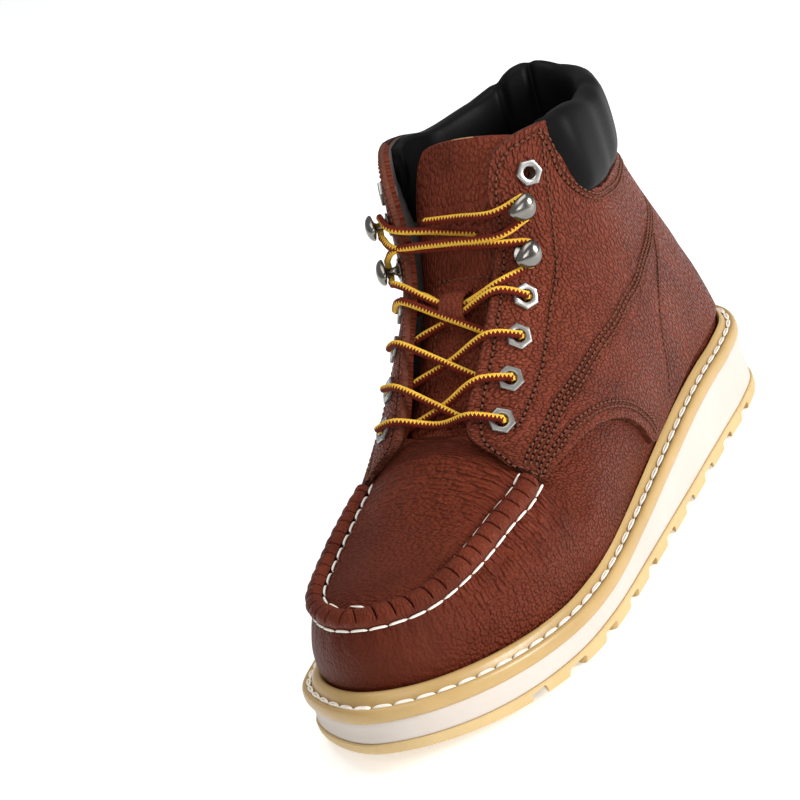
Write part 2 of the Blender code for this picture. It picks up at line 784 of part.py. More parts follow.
def over_tongue(near, place, lift):
    """Point above the tongue, level with a given point and part of the way across."""
    rows = np.array([tongue_point(r, d, place) for r, d in zip(TONGUE, TONGUE_RUN)])
    i = int(np.argmin(np.linalg.norm(rows[:, (0, 2)] - np.asarray(near)[[0, 2]], axis=1)))
    outward = np.array([-TONGUE_RUN[i][1], 0, TONGUE_RUN[i][0]])
    outward *= np.sign(outward[2])
    return rows[i] + outward * lift


def over_edge(side, number, lift, shift=0.0):
    """Point above the edge of a flap, beside an eyelet."""
    u = EYELET_FIRST + EYELET_STEP * (number + shift)
    u = u if side > 0 else ROUND - u
    return wall(u, FLAP_EDGE) + wall_normal(u, FLAP_OUT_AT) * lift


# Keeper strap on the tongue: place along it and height of the strap's middle line.
KEEPER_ARCH = ((-9.0, 1.1), (-7.4, 1.2), (-6.4, 6.0), (0, 7.8), (6.4, 6.0), (7.4, 1.2), (9.0, 1.1))
KEEPER_WIDTH = 8.0
KEEPER_THICK = 1.2
KEEPER_NUMBER = 3.42


def make_keeper():
    """Strap across the middle of the tongue that the lace passes under."""
    u = EYELET_FIRST + EYELET_STEP * KEEPER_NUMBER
    level = middle_of(wall(u, 1.0), wall(ROUND - u, 1.0))
    foot = over_tongue(level, 0, 0)
    outward = over_tongue(level, 0, 1.0) - foot
    upward = np.cross(outward, (0, 1, 0))
    upward *= np.sign(upward[2])
    arch = np.array(KEEPER_ARCH)
    run = np.gradient(arch, axis=0)
    run /= np.linalg.norm(run, axis=1, keepdims=True)
    lift = np.stack([-run[:, 1], run[:, 0]], -1) * KEEPER_THICK / 2
    loop = np.vstack([arch + lift, (arch - lift)[::-1]])
    sections = []
    for side in (-1, 1):
        across = np.array([0, side * KEEPER_WIDTH / 2, 0])
        sections.append(foot + across + loop[:, :1] * upward + loop[:, 1:] * outward)
    swept("lace_keeper", sections, "tongue_leather", closed=False)


LACE_LIFT = LACE_RADIUS + GAP
CORD_STEP = 5 * LACE_RADIUS
CORD_POINTS = 6
OVER_EYELET = EYELET_GAP + EYELET_RISE + 2 * GAP + LACE_RADIUS
OVER_FLAP = QUARTER_TOP + EYELET_RISE + LACE_RADIUS + 4 * GAP
NECK_SIDE = NECK_RADIUS + LACE_RADIUS + 5 * GAP
END_SHIFT = 0.28
CROSS_SHIFT = -0.18
HOOK_SHIFT = 0.3
FAR_PLACE = 0.42
REST_PLACE = 0.2
CROSS_BOW = 0.8
HOOK_BOW = 2.5
END_BOW = 3.0
TIP_BOW = 1.2
NECK_RISE = EYELET_GAP + PLATE_RISE + LACE_RADIUS + 2 * GAP


def at_eyelet(side, number):
    return eyelet_frame(side, number, OVER_EYELET)[0]


def at_hook(side, number, way):
    """Point beside a hook's neck, above (1) or below (-1) it along the row of eyelets."""
    here, outward = eyelet_frame(side, number, NECK_RISE)
    following = eyelet_frame(side, number + way, NECK_RISE)[0]
    run = following - here
    return here + run / np.linalg.norm(run) * NECK_SIDE


def bar_route():
    ends = [at_eyelet(1, 0), at_eyelet(-1, 0)]
    edges = [over_edge(1, 0, OVER_FLAP), over_edge(-1, 0, OVER_FLAP)]
    centre = over_tongue(middle_of(*edges), 0, OVER_FLAP)
    return [ends[0], edges[0], centre, edges[1], ends[1]]


def crossing_route(side, number):
    """From the outside of one eyelet over its flap and the tongue to the flap below on the other side."""
    start = at_eyelet(side, number) if EYELETS[number] == "eyelet" else at_hook(side, number, -1)
    edge = over_edge(side, number, OVER_FLAP, CROSS_SHIFT)
    below = over_edge(-side, number - 1, 0)
    far = over_tongue(below, -FAR_PLACE * side, LACE_LIFT)
    centre = over_tongue(middle_of(edge, below), 0, LACE_LIFT + CROSS_BOW)
    return [start, edge, centre, far]


def hook_route(side, number):
    """From below one hook across to the top of the hook below on the other side."""
    start = at_hook(side, number, -1)
    finish = at_hook(-side, number - 1, 1)
    near = over_edge(side, number, OVER_FLAP, -HOOK_SHIFT)
    far = over_edge(-side, number - 1, OVER_FLAP, HOOK_SHIFT)
    centre = over_tongue(middle_of(near, far), 0, LACE_LIFT + HOOK_BOW)
    return [start, near, centre, far, finish]


def end_route(side, number, reach, fall):
    """Free end from the top of a hook, laid down across the tongue."""
    start = at_hook(side, number, 1)
    edge = over_edge(side, number, OVER_FLAP, END_SHIFT)
    half_way = over_edge(side, number, 0, END_SHIFT - fall / 2)
    rest = over_tongue(half_way, REST_PLACE * side, LACE_LIFT + END_BOW)
    far = over_edge(-side, number, 0, END_SHIFT - fall)
    tip = over_tongue(far, -reach * side, LACE_LIFT + TIP_BOW)
    return [start, edge, rest, tip]


def cord(name, route, material=None):
    """Round cord along a smooth curve through its route."""
    length = np.linalg.norm(np.diff(route, axis=0), axis=1).sum()
    points = smooth_rows(route, max(CORD_POINTS, int(length / CORD_STEP)))
    curve = bpy.data.curves.new(name, "CURVE")
    curve.dimensions = "3D"
    curve.bevel_depth = LACE_RADIUS * MM
    curve.bevel_resolution = 2
    curve.use_fill_caps = True
    spline = curve.splines.new("POLY")
    spline.points.add(len(points) - 1)
    for spot, place in zip(spline.points, world(points)):
        spot.co = (*place, 1)
    return add_object(name, curve, material)


def cord_mesh(name, route, material=None):
    """The same cord as a mesh, so that it can be joined to another."""
    line = cord(name + "_line", route)
    graph = bpy.context.evaluated_depsgraph_get()
    mesh = bpy.data.meshes.new_from_object(line.evaluated_get(graph))
    mesh.name = name
    bpy.data.objects.remove(line, do_unlink=True)
    return add_object(name, mesh, material)


def make_lace():
    cord("lace_bar", bar_route(), "lace_cord")
    for number in range(1, 5):
        first = cord_mesh(f"lace_cross_{number}", crossing_route(1, number), "lace_cord")
        second = cord_mesh(f"lace_cross_{number}_second", crossing_route(-1, number))
        cut(first, second, "UNION")
    first = cord_mesh("lace_cross_5", hook_route(1, 5), "lace_cord")
    second = cord_mesh("lace_cross_5_second", hook_route(-1, 5))
    cut(first, second, "UNION")
    cord("lace_end_lateral", end_route(1, 5, 0.35, 0.05), "lace_cord")
    cord("lace_end_medial", end_route(-1, 5, 0.3, 0.45), "lace_cord")


make_sole()
make_welt()
make_insole()
UPPER = make_upper()
make_tongue()
QUARTERS = {1: make_quarter("quarter_lateral", 1), -1: make_quarter("quarter_medial", -1)}
make_moc_seam()
make_collar()
make_eyelets()
make_keeper()
make_lace()
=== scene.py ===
import math

import bmesh
import bpy
import numpy as np
from mathutils import Matrix, Vector


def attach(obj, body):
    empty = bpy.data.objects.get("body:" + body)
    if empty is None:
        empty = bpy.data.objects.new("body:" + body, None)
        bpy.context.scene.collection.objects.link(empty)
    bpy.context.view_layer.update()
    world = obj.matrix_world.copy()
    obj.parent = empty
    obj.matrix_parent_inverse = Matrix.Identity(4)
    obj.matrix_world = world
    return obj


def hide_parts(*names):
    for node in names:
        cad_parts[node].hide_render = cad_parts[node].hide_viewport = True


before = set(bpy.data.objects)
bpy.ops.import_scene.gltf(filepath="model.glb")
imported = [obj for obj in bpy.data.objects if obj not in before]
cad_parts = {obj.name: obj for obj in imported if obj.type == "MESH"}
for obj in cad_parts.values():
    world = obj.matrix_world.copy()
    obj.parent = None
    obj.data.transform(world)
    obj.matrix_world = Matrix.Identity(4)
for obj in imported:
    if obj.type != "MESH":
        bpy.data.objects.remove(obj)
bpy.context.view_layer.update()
scene = bpy.context.scene
print("frame loaded:", len(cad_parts), "nodes")

# Boot sizes in millimetres: along runs from heel to toe, out is lateral, up is the height
boot = dict(length=300.0, gap=0.3, wall=2.0, leather=1.6, quarterGap=0.8, footTuck=1.0,
            heelHeight=26.3, ballHeight=13.1, wedgeFrom=60.0, wedgeTo=210.0,
            toeSpring=9.7, springFrom=205.0, lowShare=0.8, highShare=0.4)
slopeStep = dict(plan=0.01, wall=0.02)  # small steps of section number and height
quarterTop = boot["quarterGap"] + boot["leather"]

# along, lateral, medial, inset, low point, high point, top point, medial top, crown of the toe plug
sections = (
    (300, 0, 0, 11.5, (290.5, 0, 35), (289, 0, 47.5), (282.5, 0, 57), 0, 0),  # toe tip
    (293, 18.5, 21, 11, (285.5, 15, 34.5), (284.5, 14.3, 47), (279.6, 11.8, 57), 12.2, 1.5),
    (277, 34, 40.3, 11, (272.5, 27.5, 33.5), (271, 27, 46), (268.5, 24.2, 57), 25, 5),
    (255, 45.5, 49.5, 10, (251.5, 39.5, 32.5), (250.5, 37.3, 46.5), (249, 31, 58.3), 31, 7.2),
    (228, 52.6, 54.5, 8, (227.5, 47, 33), (227, 43.6, 48.5), (226.5, 34.6, 61), 34.6, 9.7),
    (203, 53.9, 54.8, 7.5, (203.5, 48.7, 33.5), (203.5, 45.5, 50.5), (203.5, 36.5, 64), 36.5, 14.5),  # ball
    (186, 53, 53, 7.3, (189, 49.5, 39), (196, 43, 58), (202, 25.5, 72.5), 26, 7),  # flap
    (168, 51.3, 49.3, 7.2, (176, 49, 45), (187.5, 40, 67.5), (198, 14, 83), 14.5, -1.5),  # throat
    (140, 48.8, 43.4, 7.8, (150, 46.5, 53), (162, 39, 83), (172, 15.5, 105), 17.5, 0),
    (112, 46.3, 41, 8.5, (125, 44.5, 62), (138, 37.5, 99), (147, 17.5, 129.5), 20.5, 0),
    (85, 43.7, 41.2, 8, (104, 42.3, 73), (123, 37.5, 122), (131.5, 20.5, 163), 27, 0),
    (64, 41.8, 40.1, 7.5, (86, 40.2, 77), (106, 40.8, 126), (107, 36, 166), 38, 0),  # collar front
    (44, 39.8, 38.9, 6.8, (63, 35.7, 76), (82, 36.2, 121), (82, 35.4, 158), 36, 0),
    (22, 34.5, 34.5, 6.2, (41, 28.6, 75), (59, 28, 118), (60, 27.2, 157), 27.6, 0),
    (7, 21.5, 21.5, 6, (24.5, 16.8, 73), (43, 16.4, 116), (46.5, 15.2, 156.5), 15.2, 0),
    (0, 0, 0, 6, (16, 0, 70), (36.5, 0, 115), (41, 0, 156), 0, 0),  # heel back
)
half = len(sections) - 1
roundTrip = 2 * half


def onSide(u, side):  # the same place on the lateral (1) or the medial side (-1)
    return u if side > 0 else roundTrip - u


def sideOf(u):  # section number counted from the toe on either side
    return np.where(u <= half, u, roundTrip - u)


def thereAndBack(values):
    values = list(values)
    return np.array(values + values[-2:0:-1], float)


def sidePoints(place, widthShare):
    lateral = np.array([row[place] for row in sections], float)
    medial = lateral.copy()
    medial[:, 1] = [-(row[place][1] + (row[2] - row[1]) * widthShare) for row in sections]
    return np.vstack([lateral, medial[-2:0:-1]])


def topPoints():
    points = sidePoints(6, 0.0)
    points[half + 1:, 1] = [-row[7] for row in sections[-2:0:-1]]
    return points


soleLine = np.array([(r[0], r[1]) for r in sections] + [(r[0], -r[2]) for r in sections[-2:0:-1]], float)
span = np.linalg.norm(np.roll(soleLine, -1, axis=0) - soleLine, axis=1)
insetColumn = thereAndBack(r[3] for r in sections)
crownColumn = thereAndBack(r[8] for r in sections)
lowPoints = sidePoints(4, boot["lowShare"])
highPoints = sidePoints(5, boot["highShare"])
edgePoints = topPoints()


def around(values, u):  # smooth closed curve through one value for each section
    values = values.reshape(len(values), -1)
    u = np.mod(np.asarray(u, float), roundTrip)
    i = np.minimum(u.astype(int), roundTrip - 1)
    t = (u - i)[..., None]
    slope = (np.roll(values, -1, 0) - np.roll(values, 1, 0)) / (np.roll(span, 1) + span)[:, None]
    a, b = values[i], values[(i + 1) % roundTrip]
    step = span[i][..., None]
    ma, mb = slope[i] * step, slope[(i + 1) % roundTrip] * step
    return a + ma * t + (3 * (b - a) - 2 * ma - mb) * t**2 + (2 * (a - b) + ma + mb) * t**3


def plan(u, inset=0.0):  # outline of the sole, moved in
    u = np.asarray(u, float)
    step = slopeStep["plan"]
    run = around(soleLine, u + step) - around(soleLine, u - step)
    run /= np.linalg.norm(run, axis=-1, keepdims=True)
    inward = np.stack([-run[..., 1], run[..., 0]], -1)
    return around(soleLine, u) + inward * np.asarray(inset)[..., None]


def spring(along):
    t = np.clip((along - boot["springFrom"]) / (boot["length"] - boot["springFrom"]), 0, 1)
    return boot["toeSpring"] * t**2


def weltUnder(along):
    fall = boot["ballHeight"] - boot["heelHeight"]
    wedge = fadeIn(along, boot["wedgeFrom"], boot["wedgeTo"] - boot["wedgeFrom"])
    return boot["heelHeight"] + fall * wedge + spring(along)


def withHeight(flat, up):
    return np.concatenate([flat, np.broadcast_to(np.asarray(up, float), flat.shape[:-1])[..., None]], -1)


def footLine(u):
    flat = plan(u, around(insetColumn, u)[..., 0] + boot["footTuck"])
    return withHeight(flat, weltUnder(flat[..., 0]) + boot["gap"])


def wall(u, v):  # outer face of the upper, from the welt (v 0) to the top edge (v 1)
    u, v = np.broadcast_arrays(np.asarray(u, float), np.asarray(v, float))
    t = 3 * v[..., None]
    a = -(t - 1) * (t - 2) * (t - 3) / 6
    b = t * (t - 2) * (t - 3) / 2
    c = -t * (t - 1) * (t - 3) / 2
    d = t * (t - 1) * (t - 2) / 6
    return a * footLine(u) + b * around(lowPoints, u) + c * around(highPoints, u) + d * around(edgePoints, u)


def wallNormal(u, v):
    u, v = np.asarray(u, float), np.asarray(v, float)
    step = slopeStep["wall"]
    normal = np.cross(wall(u + step, v) - wall(u - step, v), wall(u, v + step) - wall(u, v - step))
    return normal / np.linalg.norm(normal, axis=-1, keepdims=True)


def offWall(u, v, distance):
    return wall(u, v) + wallNormal(u, v) * np.asarray(distance, float)[..., None]


def plug(u, w):  # outer face of the toe plug, across from lateral (w 0) to medial (w 1)
    u, w = np.broadcast_arrays(np.asarray(u, float), np.asarray(w, float))
    lateral = wall(u, 1.0)
    point = lateral + (wall(roundTrip - u, 1.0) - lateral) * w[..., None]
    point[..., 2] += around(crownColumn, u)[..., 0] * (1 - (2 * w - 1) ** 2)
    return point


soleSide = plan(np.arange(0, roundTrip, 0.5))[:, 1]
planMiddle = (soleSide.max() + soleSide.min()) / 2


def toWorld(points):  # metres: toe at minus X, lateral side at minus Y
    points = np.asarray(points, float)
    along, out, up = np.moveaxis(points, -1, 0)
    return np.stack([boot["length"] / 2 - along, planMiddle - out, up], -1) / 1000


def unit(vectors):
    return vectors / np.maximum(np.linalg.norm(vectors, axis=-1, keepdims=True), 1e-9)


def smoothRows(table, count):  # even steps along a smooth curve through the rows
    table = np.asarray(table, float)
    place = np.linspace(0, len(table) - 1, count)
    i = np.minimum(place.astype(int), len(table) - 2)
    t = (place - i)[:, None]
    slope = np.gradient(table, axis=0)
    a, b, ma, mb = table[i], table[i + 1], slope[i], slope[i + 1]
    return a + ma * t + (3 * (b - a) - 2 * ma - mb) * t**2 + (2 * (a - b) + ma + mb) * t**3


def evenSteps(line, step):  # points along a line, a given distance apart
    reach = fromStart(line)
    count = max(2, int(round(reach[-1] / step)) + 1)
    at = np.linspace(0, reach[-1], count)
    return np.stack([np.interp(at, reach, line[:, k]) for k in range(line.shape[1])], -1)


def turns(count):  # even angles of a full turn
    return [2 * math.pi * s / count for s in range(count)]


def smoothStep(t):
    t = np.clip(t, 0, 1)
    return t * t * (3 - 2 * t)


def fadeIn(value, start, over):
    return smoothStep((value - start) / over)


def fadeOut(value, end, over):
    return smoothStep((end - value) / over)


# Camera: the photograph's angle to the boot, rolled as the boot lies in the picture
camera = dict(right=(0.45830, -0.82313, -0.33527), down=(-0.49844, 0.07429, -0.86373),
              ahead=(0.73588, 0.56297, -0.37624), place=(-0.85558, -0.60863, 0.51140),
              lens=132.88, sensor=36.0, near=0.01)


def makeCamera():
    lens = bpy.data.cameras.new("photoCamera")
    lens.lens = camera["lens"]
    lens.sensor_width = camera["sensor"]
    lens.clip_start = camera["near"]
    eye = bpy.data.objects.new("photoCamera", lens)
    scene.collection.objects.link(eye)
    columns = [Vector(camera["right"]), -Vector(camera["down"]), -Vector(camera["ahead"])]
    turn = Matrix(columns).transposed().to_4x4()
    eye.matrix_world = Matrix.Translation(camera["place"]) @ turn
    scene.camera = eye


makeCamera()
print("camera placed")


# Materials
def newMaterial(name):
    material = bpy.data.materials.new(name)
    material.use_nodes = True
    return material, material.node_tree, material.node_tree.nodes["Principled BSDF"]


def put(tree, kind, **values):  # one node, with its settings and its socket values
    node = tree.nodes.new(kind)
    for key, value in values.items():
        if key in node.inputs.keys():
            node.inputs[key].default_value = value
        else:
            setattr(node, key, value)
    return node


def wire(tree, source, target):
    tree.links.new(source, target)


def mathNode(tree, operation, *values):
    node = put(tree, "ShaderNodeMath", operation=operation)
    for socket, value in zip(node.inputs, values):
        if isinstance(value, (int, float)):
            socket.default_value = value
        else:
            wire(tree, value, socket)
    return node.outputs[0]


def ramp(tree, source, *stops):  # colour ramp, stops are (place, colour)
    node = tree.nodes.new("ShaderNodeValToRGB")
    while len(node.color_ramp.elements) < len(stops):
        node.color_ramp.elements.new(0.5)
    for element, (place, colour) in zip(node.color_ramp.elements, stops):
        element.position = place
        element.color = (*colour, 1)
    wire(tree, source, node.inputs[0])
    return node.outputs[0]


def mixColour(tree, share, first, second):
    node = put(tree, "ShaderNodeMix", data_type="RGBA")
    for socket, value in ((node.inputs[0], share), (node.inputs[6], first), (node.inputs[7], second)):
        if isinstance(value, tuple):
            socket.default_value = (*value, 1)
        else:
            wire(tree, value, socket)
    return node.outputs[2]


def noise(tree, coords, scale, detail=3.0, rough=0.5):
    node = put(tree, "ShaderNodeTexNoise", Scale=scale, Detail=detail, Roughness=rough)
    wire(tree, coords, node.inputs["Vector"])
    return node.outputs["Fac"]


def bump(tree, height, strength, distance, shader):
    node = put(tree, "ShaderNodeBump", Strength=strength, Distance=distance)
    wire(tree, height, node.inputs["Height"])
    wire(tree, node.outputs[0], shader.inputs["Normal"])


def objectCoords(tree):
    return tree.nodes.new("ShaderNodeTexCoord").outputs["Object"]


def attribute(tree, name):
    return put(tree, "ShaderNodeAttribute", attribute_name=name).outputs["Fac"]


leather = dict(
    rawEdge=(0.11, 0.034, 0.018), deep=(0.012, 0.003, 0.002),  # cut edges, and painted shade at the bottom of creases, stitch dents and cuts
    domes=((0.05, 1.0), (0.28, 0.82), (0.44, 0.45), (0.6, 0.0)), soft=0.12, loose=0.85,  # form of the pebbles
    furrow=(0.74, 0.22, 0.6), fold=0.8,  # stretch and added depth where the hide wrinkles
    warp=1.6, warpScale=0.4, fineScale=2.6, fineRelief=0.14, swell=0.55, swellScale=0.3,
    # toeShade and valley: shares of painted shade where the hide is plain (mostly the toe) and in the pebble
    # valleys
    patchScale=0.045, patches=(0.18, 0.46, 0.74), valley=0.24, toeShade=0.75,
    shine=0.2, warmShine=(1.0, 0.62, 0.46), glossSpread=0.2, glossLow=0.08, toeMatt=0.12, dull=0.3,
)


def pebbles(tree, coords, size, stretch):  # domes of the grain, 1 on top and 0 in the valleys
    long = put(tree, "ShaderNodeVectorMath", operation="MULTIPLY")
    long.inputs[1].default_value = stretch
    wire(tree, coords, long.inputs[0])
    cells = put(tree, "ShaderNodeTexVoronoi", voronoi_dimensions="2D", feature="SMOOTH_F1", Scale=1 / size,
                Smoothness=leather["soft"], Randomness=leather["loose"])
    wire(tree, long.outputs[0], cells.inputs["Vector"])
    domes = [(place, (level,) * 3) for place, level in leather["domes"]]
    return ramp(tree, cells.outputs["Distance"], *domes)


def leatherMaterial(name, light, middle, dark, size, depth, rough, tint=leather["warmShine"]):
    material, tree, shader = newMaterial(name)
    coords = put(tree, "ShaderNodeAttribute", attribute_name="grain").outputs["Vector"]
    warp = put(tree, "ShaderNodeTexNoise", Scale=leather["warpScale"], Detail=2.0)
    wire(tree, coords, warp.inputs["Vector"])
    bend = put(tree, "ShaderNodeVectorMath", operation="MULTIPLY_ADD")
    bend.inputs[1].default_value = (leather["warp"],) * 3
    wire(tree, warp.outputs["Color"], bend.inputs[0])
    wire(tree, coords, bend.inputs[2])
    fine = noise(tree, coords, leather["fineScale"], 4.0, 0.65)
    plain, wrinkle = attribute(tree, "plain"), attribute(tree, "wrinkle")
    # height: pebbles, drawn out to furrows where the hide wrinkles and gone where it is plain
    even, drawn = [pebbles(tree, bend.outputs[0], size, stretch)
                   for stretch in ((1.0, 1.0, 1.0), leather["furrow"])]
    level = mixColour(tree, wrinkle, even, drawn)
    grained = mathNode(tree, "SUBTRACT", 1.0, plain)
    deeper = mathNode(tree, "MULTIPLY_ADD", wrinkle, leather["fold"], 1.0)
    height = mathNode(tree, "MULTIPLY", mathNode(tree, "MULTIPLY", level, grained), deeper)
    swell = noise(tree, coords, leather["swellScale"], 3.0)  # soft unevenness of the hide
    for part, share in ((swell, leather["swell"]), (fine, leather["fineRelief"])):
        height = mathNode(tree, "ADD", height, mathNode(tree, "MULTIPLY", part, share))
    bump(tree, height, 1.0, depth, shader)
    # colour: patches of the hide, then painted shade where the hide is plain (mostly the toe), painted shade
    # in the valleys, the cut edges, and painted shade in creases, stitch dents and cuts
    # valley: the pebble valleys, given painted shade in the colour and a duller gloss
    valley = mathNode(tree, "MULTIPLY", mathNode(tree, "SUBTRACT", 1.0, level), grained)
    patch = noise(tree, coords, leather["patchScale"], 5.0, 0.6)
    colour = ramp(tree, patch, *zip(leather["patches"], (dark, middle, light)))
    for share, shade in ((mathNode(tree, "MULTIPLY", plain, leather["toeShade"]), dark),
                         (mathNode(tree, "MULTIPLY", valley, leather["valley"]), dark),
                         (attribute(tree, "edge"), leather["rawEdge"]),
                         (attribute(tree, "crease"), leather["deep"])):
        colour = mixColour(tree, share, colour, shade)
    wire(tree, colour, shader.inputs["Base Color"])
    # gloss: toe and valleys are duller
    gloss = mathNode(tree, "MULTIPLY_ADD", fine, leather["glossSpread"], rough - leather["glossLow"])
    for part, more in ((plain, leather["toeMatt"]), (valley, leather["dull"])):
        gloss = mathNode(tree, "ADD", gloss, mathNode(tree, "MULTIPLY", part, more))
    wire(tree, gloss, shader.inputs["Roughness"])
    shader.inputs["Specular IOR Level"].default_value = leather["shine"]
    shader.inputs["Specular Tint"].default_value = (*tint, 1)
    return material


plainLook = dict(stops=(0.3, 0.7), glossSpread=0.2, glossLow=0.1, relief=0.5)


def plainMaterial(name, light, dark, scale, rough, grain, depth, metal=0.0, sheen=0.0, shine=0.5):
    material, tree, shader = newMaterial(name)
    coords = objectCoords(tree)
    colour = ramp(tree, noise(tree, coords, scale, 5.0, 0.6), *zip(plainLook["stops"], (dark, light)))
    wire(tree, colour, shader.inputs["Base Color"])
    fine = noise(tree, coords, grain, 3.0, 0.6)
    gloss = mathNode(tree, "MULTIPLY_ADD", fine, plainLook["glossSpread"], rough - plainLook["glossLow"])
    wire(tree, gloss, shader.inputs["Roughness"])
    bump(tree, fine, plainLook["relief"], depth, shader)
    shader.inputs["Metallic"].default_value = metal
    shader.inputs["Specular IOR Level"].default_value = shine
    shader.inputs["Sheen Weight"].default_value = sheen
    return material


lace = dict(width=2.9, thick=2.4, step=0.7, sides=14, tip=0.35, tipSteps=2,
            faceUp=(0.74, 0.42, 0.46), faceTurn=0.02, leastLean=0.35,  # which way the gold half looks
            tooth=0.31, pitch=1.5, border=0.285, gold=(1.0, 0.65, 0.09), goldDark=(1.0, 0.52, 0.04),
            red=(0.21, 0.018, 0.006), redDark=(0.11, 0.008, 0.003), dust=900.0,
            ribs=2, cords=8, weave=0.8, relief=0.0003, rough=0.8, shine=0.2)


def laceMaterial(name):
    material, tree, shader = newMaterial(name)
    uv = put(tree, "ShaderNodeUVMap", uv_map="laceUV")
    split = put(tree, "ShaderNodeSeparateXYZ")
    wire(tree, uv.outputs[0], split.inputs[0])
    along, about = split.outputs[0], split.outputs[1]
    halfTurn, quarterTurn = 0.5, 0.25
    saw = mathNode(tree, "PINGPONG", along, halfTurn)  # teeth of the border between the two colours
    tooth = mathNode(tree, "MULTIPLY", mathNode(tree, "SUBTRACT", saw, quarterTurn), lace["tooth"])
    place = mathNode(tree, "PINGPONG", mathNode(tree, "ADD", about, quarterTurn), halfTurn)
    gold = mathNode(tree, "GREATER_THAN", mathNode(tree, "ADD", place, tooth), lace["border"])
    dust = noise(tree, objectCoords(tree), lace["dust"], 3.0)
    red, yellow = [ramp(tree, dust, *zip(plainLook["stops"], (lace[tone + "Dark"], lace[tone])))
                   for tone in ("red", "gold")]
    wire(tree, mixColour(tree, gold, red, yellow), shader.inputs["Base Color"])
    ribs, cords = [mathNode(tree, "SINE", mathNode(tree, "MULTIPLY", way, 2 * math.pi * count))
                   for way, count in ((along, lace["ribs"]), (about, lace["cords"]))]
    bump(tree, mathNode(tree, "MULTIPLY", ribs, cords), lace["weave"], lace["relief"], shader)
    shader.inputs["Roughness"].default_value = lace["rough"]
    shader.inputs["Specular IOR Level"].default_value = lace["shine"]
    return material


leatherTones = dict(  # pebble size in millimetres, depth in metres
    vamp=dict(name="tumbledLeather", light=(0.167, 0.031, 0.014), middle=(0.13, 0.0222, 0.01),
              dark=(0.055, 0.0078, 0.0034), size=1.6, depth=0.0013, rough=0.36),
    quarter=dict(name="quarterLeather", light=(0.222, 0.045, 0.0215), middle=(0.172, 0.0323, 0.015),
                 dark=(0.07, 0.011, 0.005), size=1.55, depth=0.0016, rough=0.36, tint=(1.0, 0.86, 0.78)),
    roll=dict(name="rollLeather", light=(0.148, 0.027, 0.0125), middle=(0.11, 0.019, 0.0088),
              dark=(0.06, 0.0088, 0.004), size=1.2, depth=0.00025, rough=0.38),
    tongue=dict(name="tongueLeather", light=(0.222, 0.0475, 0.0252), middle=(0.155, 0.0296, 0.0148),
                dark=(0.067, 0.0115, 0.0056), size=1.6, depth=0.0008, rough=0.44),
)
plainTones = dict(  # scale of the colour patches and of the grain, depth in metres
    lining=dict(name="liningSuede", light=(0.06, 0.025, 0.015), dark=(0.028, 0.011, 0.007),
                scale=60.0, rough=0.92, grain=1500.0, depth=0.0003, sheen=0.2),
    collar=dict(name="collarSmooth", light=(0.0062, 0.0062, 0.0065), dark=(0.0036, 0.0036, 0.0038),
                scale=30.0, rough=0.48, grain=1400.0, depth=0.00008, shine=0.07),
    welt=dict(name="weltRubber", light=(0.5, 0.33, 0.128), dark=(0.42, 0.27, 0.099),
              scale=35.0, rough=0.34, grain=700.0, depth=0.00006, shine=0.45),
    outsole=dict(name="treadRubber", light=(0.62, 0.45, 0.22), dark=(0.54, 0.385, 0.18),
                 scale=30.0, rough=0.6, grain=420.0, depth=0.0004, shine=0.25),
    midsole=dict(name="whiteFoam", light=(0.61, 0.548, 0.495), dark=(0.57, 0.503, 0.445),
                 scale=20.0, rough=0.65, grain=900.0, depth=0.00012, shine=0.25),
    insole=dict(name="insoleFelt", light=(0.1, 0.085, 0.075), dark=(0.06, 0.05, 0.045),
                scale=90.0, rough=0.9, grain=1600.0, depth=0.0003, sheen=0.2),
    nickel=dict(name="brightNickel", light=(0.47, 0.46, 0.44), dark=(0.34, 0.335, 0.32),
                scale=160.0, rough=0.32, grain=300.0, depth=0.000003, metal=1.0),
    hook=dict(name="darkChrome", light=(0.26, 0.245, 0.225), dark=(0.19, 0.177, 0.163),
              scale=120.0, rough=0.2, grain=200.0, depth=0.000003, metal=1.0),
    whiteThread=dict(name="whiteThread", light=(0.94, 0.89, 0.81), dark=(0.83, 0.77, 0.68),
                     scale=1200.0, rough=0.7, grain=2600.0, depth=0.0002, shine=0.2),
    brownThread=dict(name="brownThread", light=(0.168, 0.06, 0.031), dark=(0.1, 0.034, 0.017),
                     scale=1300.0, rough=0.6, grain=2600.0, depth=0.0002, shine=0.25),
    # painted shade: near-black discs set in the stitch holes
    pinhole=dict(name="pinhole", light=(0.012, 0.004, 0.003), dark=(0.006, 0.002, 0.0015),
                 scale=900.0, rough=0.8, grain=1500.0, depth=0.0001, shine=0.02),
    rawTan=dict(name="rawTanEdge", light=(0.4, 0.225, 0.105), dark=(0.29, 0.152, 0.068),
                scale=500.0, rough=0.8, grain=1500.0, depth=0.0003),
)
finish = {key: leatherMaterial(**tones) for key, tones in leatherTones.items()}
finish.update({key: plainMaterial(**tones) for key, tones in plainTones.items()})
finish["lace"] = laceMaterial("splitLace")
print("materials made:", len(finish))


# Mesh helpers
def gridFaces(rows, columns, first=0, closed=False):
    faces = []
    for r in range(rows - 1):
        for c in range(columns if closed else columns - 1):
            d = (c + 1) % columns
            a, b = first + r * columns, first + (r + 1) * columns
            faces.append((a + c, a + d, b + d, b + c))
    return faces


def newObject(name, points, edges=(), faces=()):
    mesh = bpy.data.meshes.new(name)
    mesh.from_pydata(np.asarray(points, float).reshape(-1, 3).tolist(), list(edges), list(faces))
    obj = bpy.data.objects.new(name, mesh)
    scene.collection.objects.link(obj)
    return obj


def setAttribute(obj, name, kind, values):  # a number (FLOAT) or a direction (FLOAT_VECTOR) for each point
    layer = obj.data.attributes.new(name, kind, "POINT")
    layer.data.foreach_set("value" if kind == "FLOAT" else "vector", np.asarray(values, np.float32).ravel())


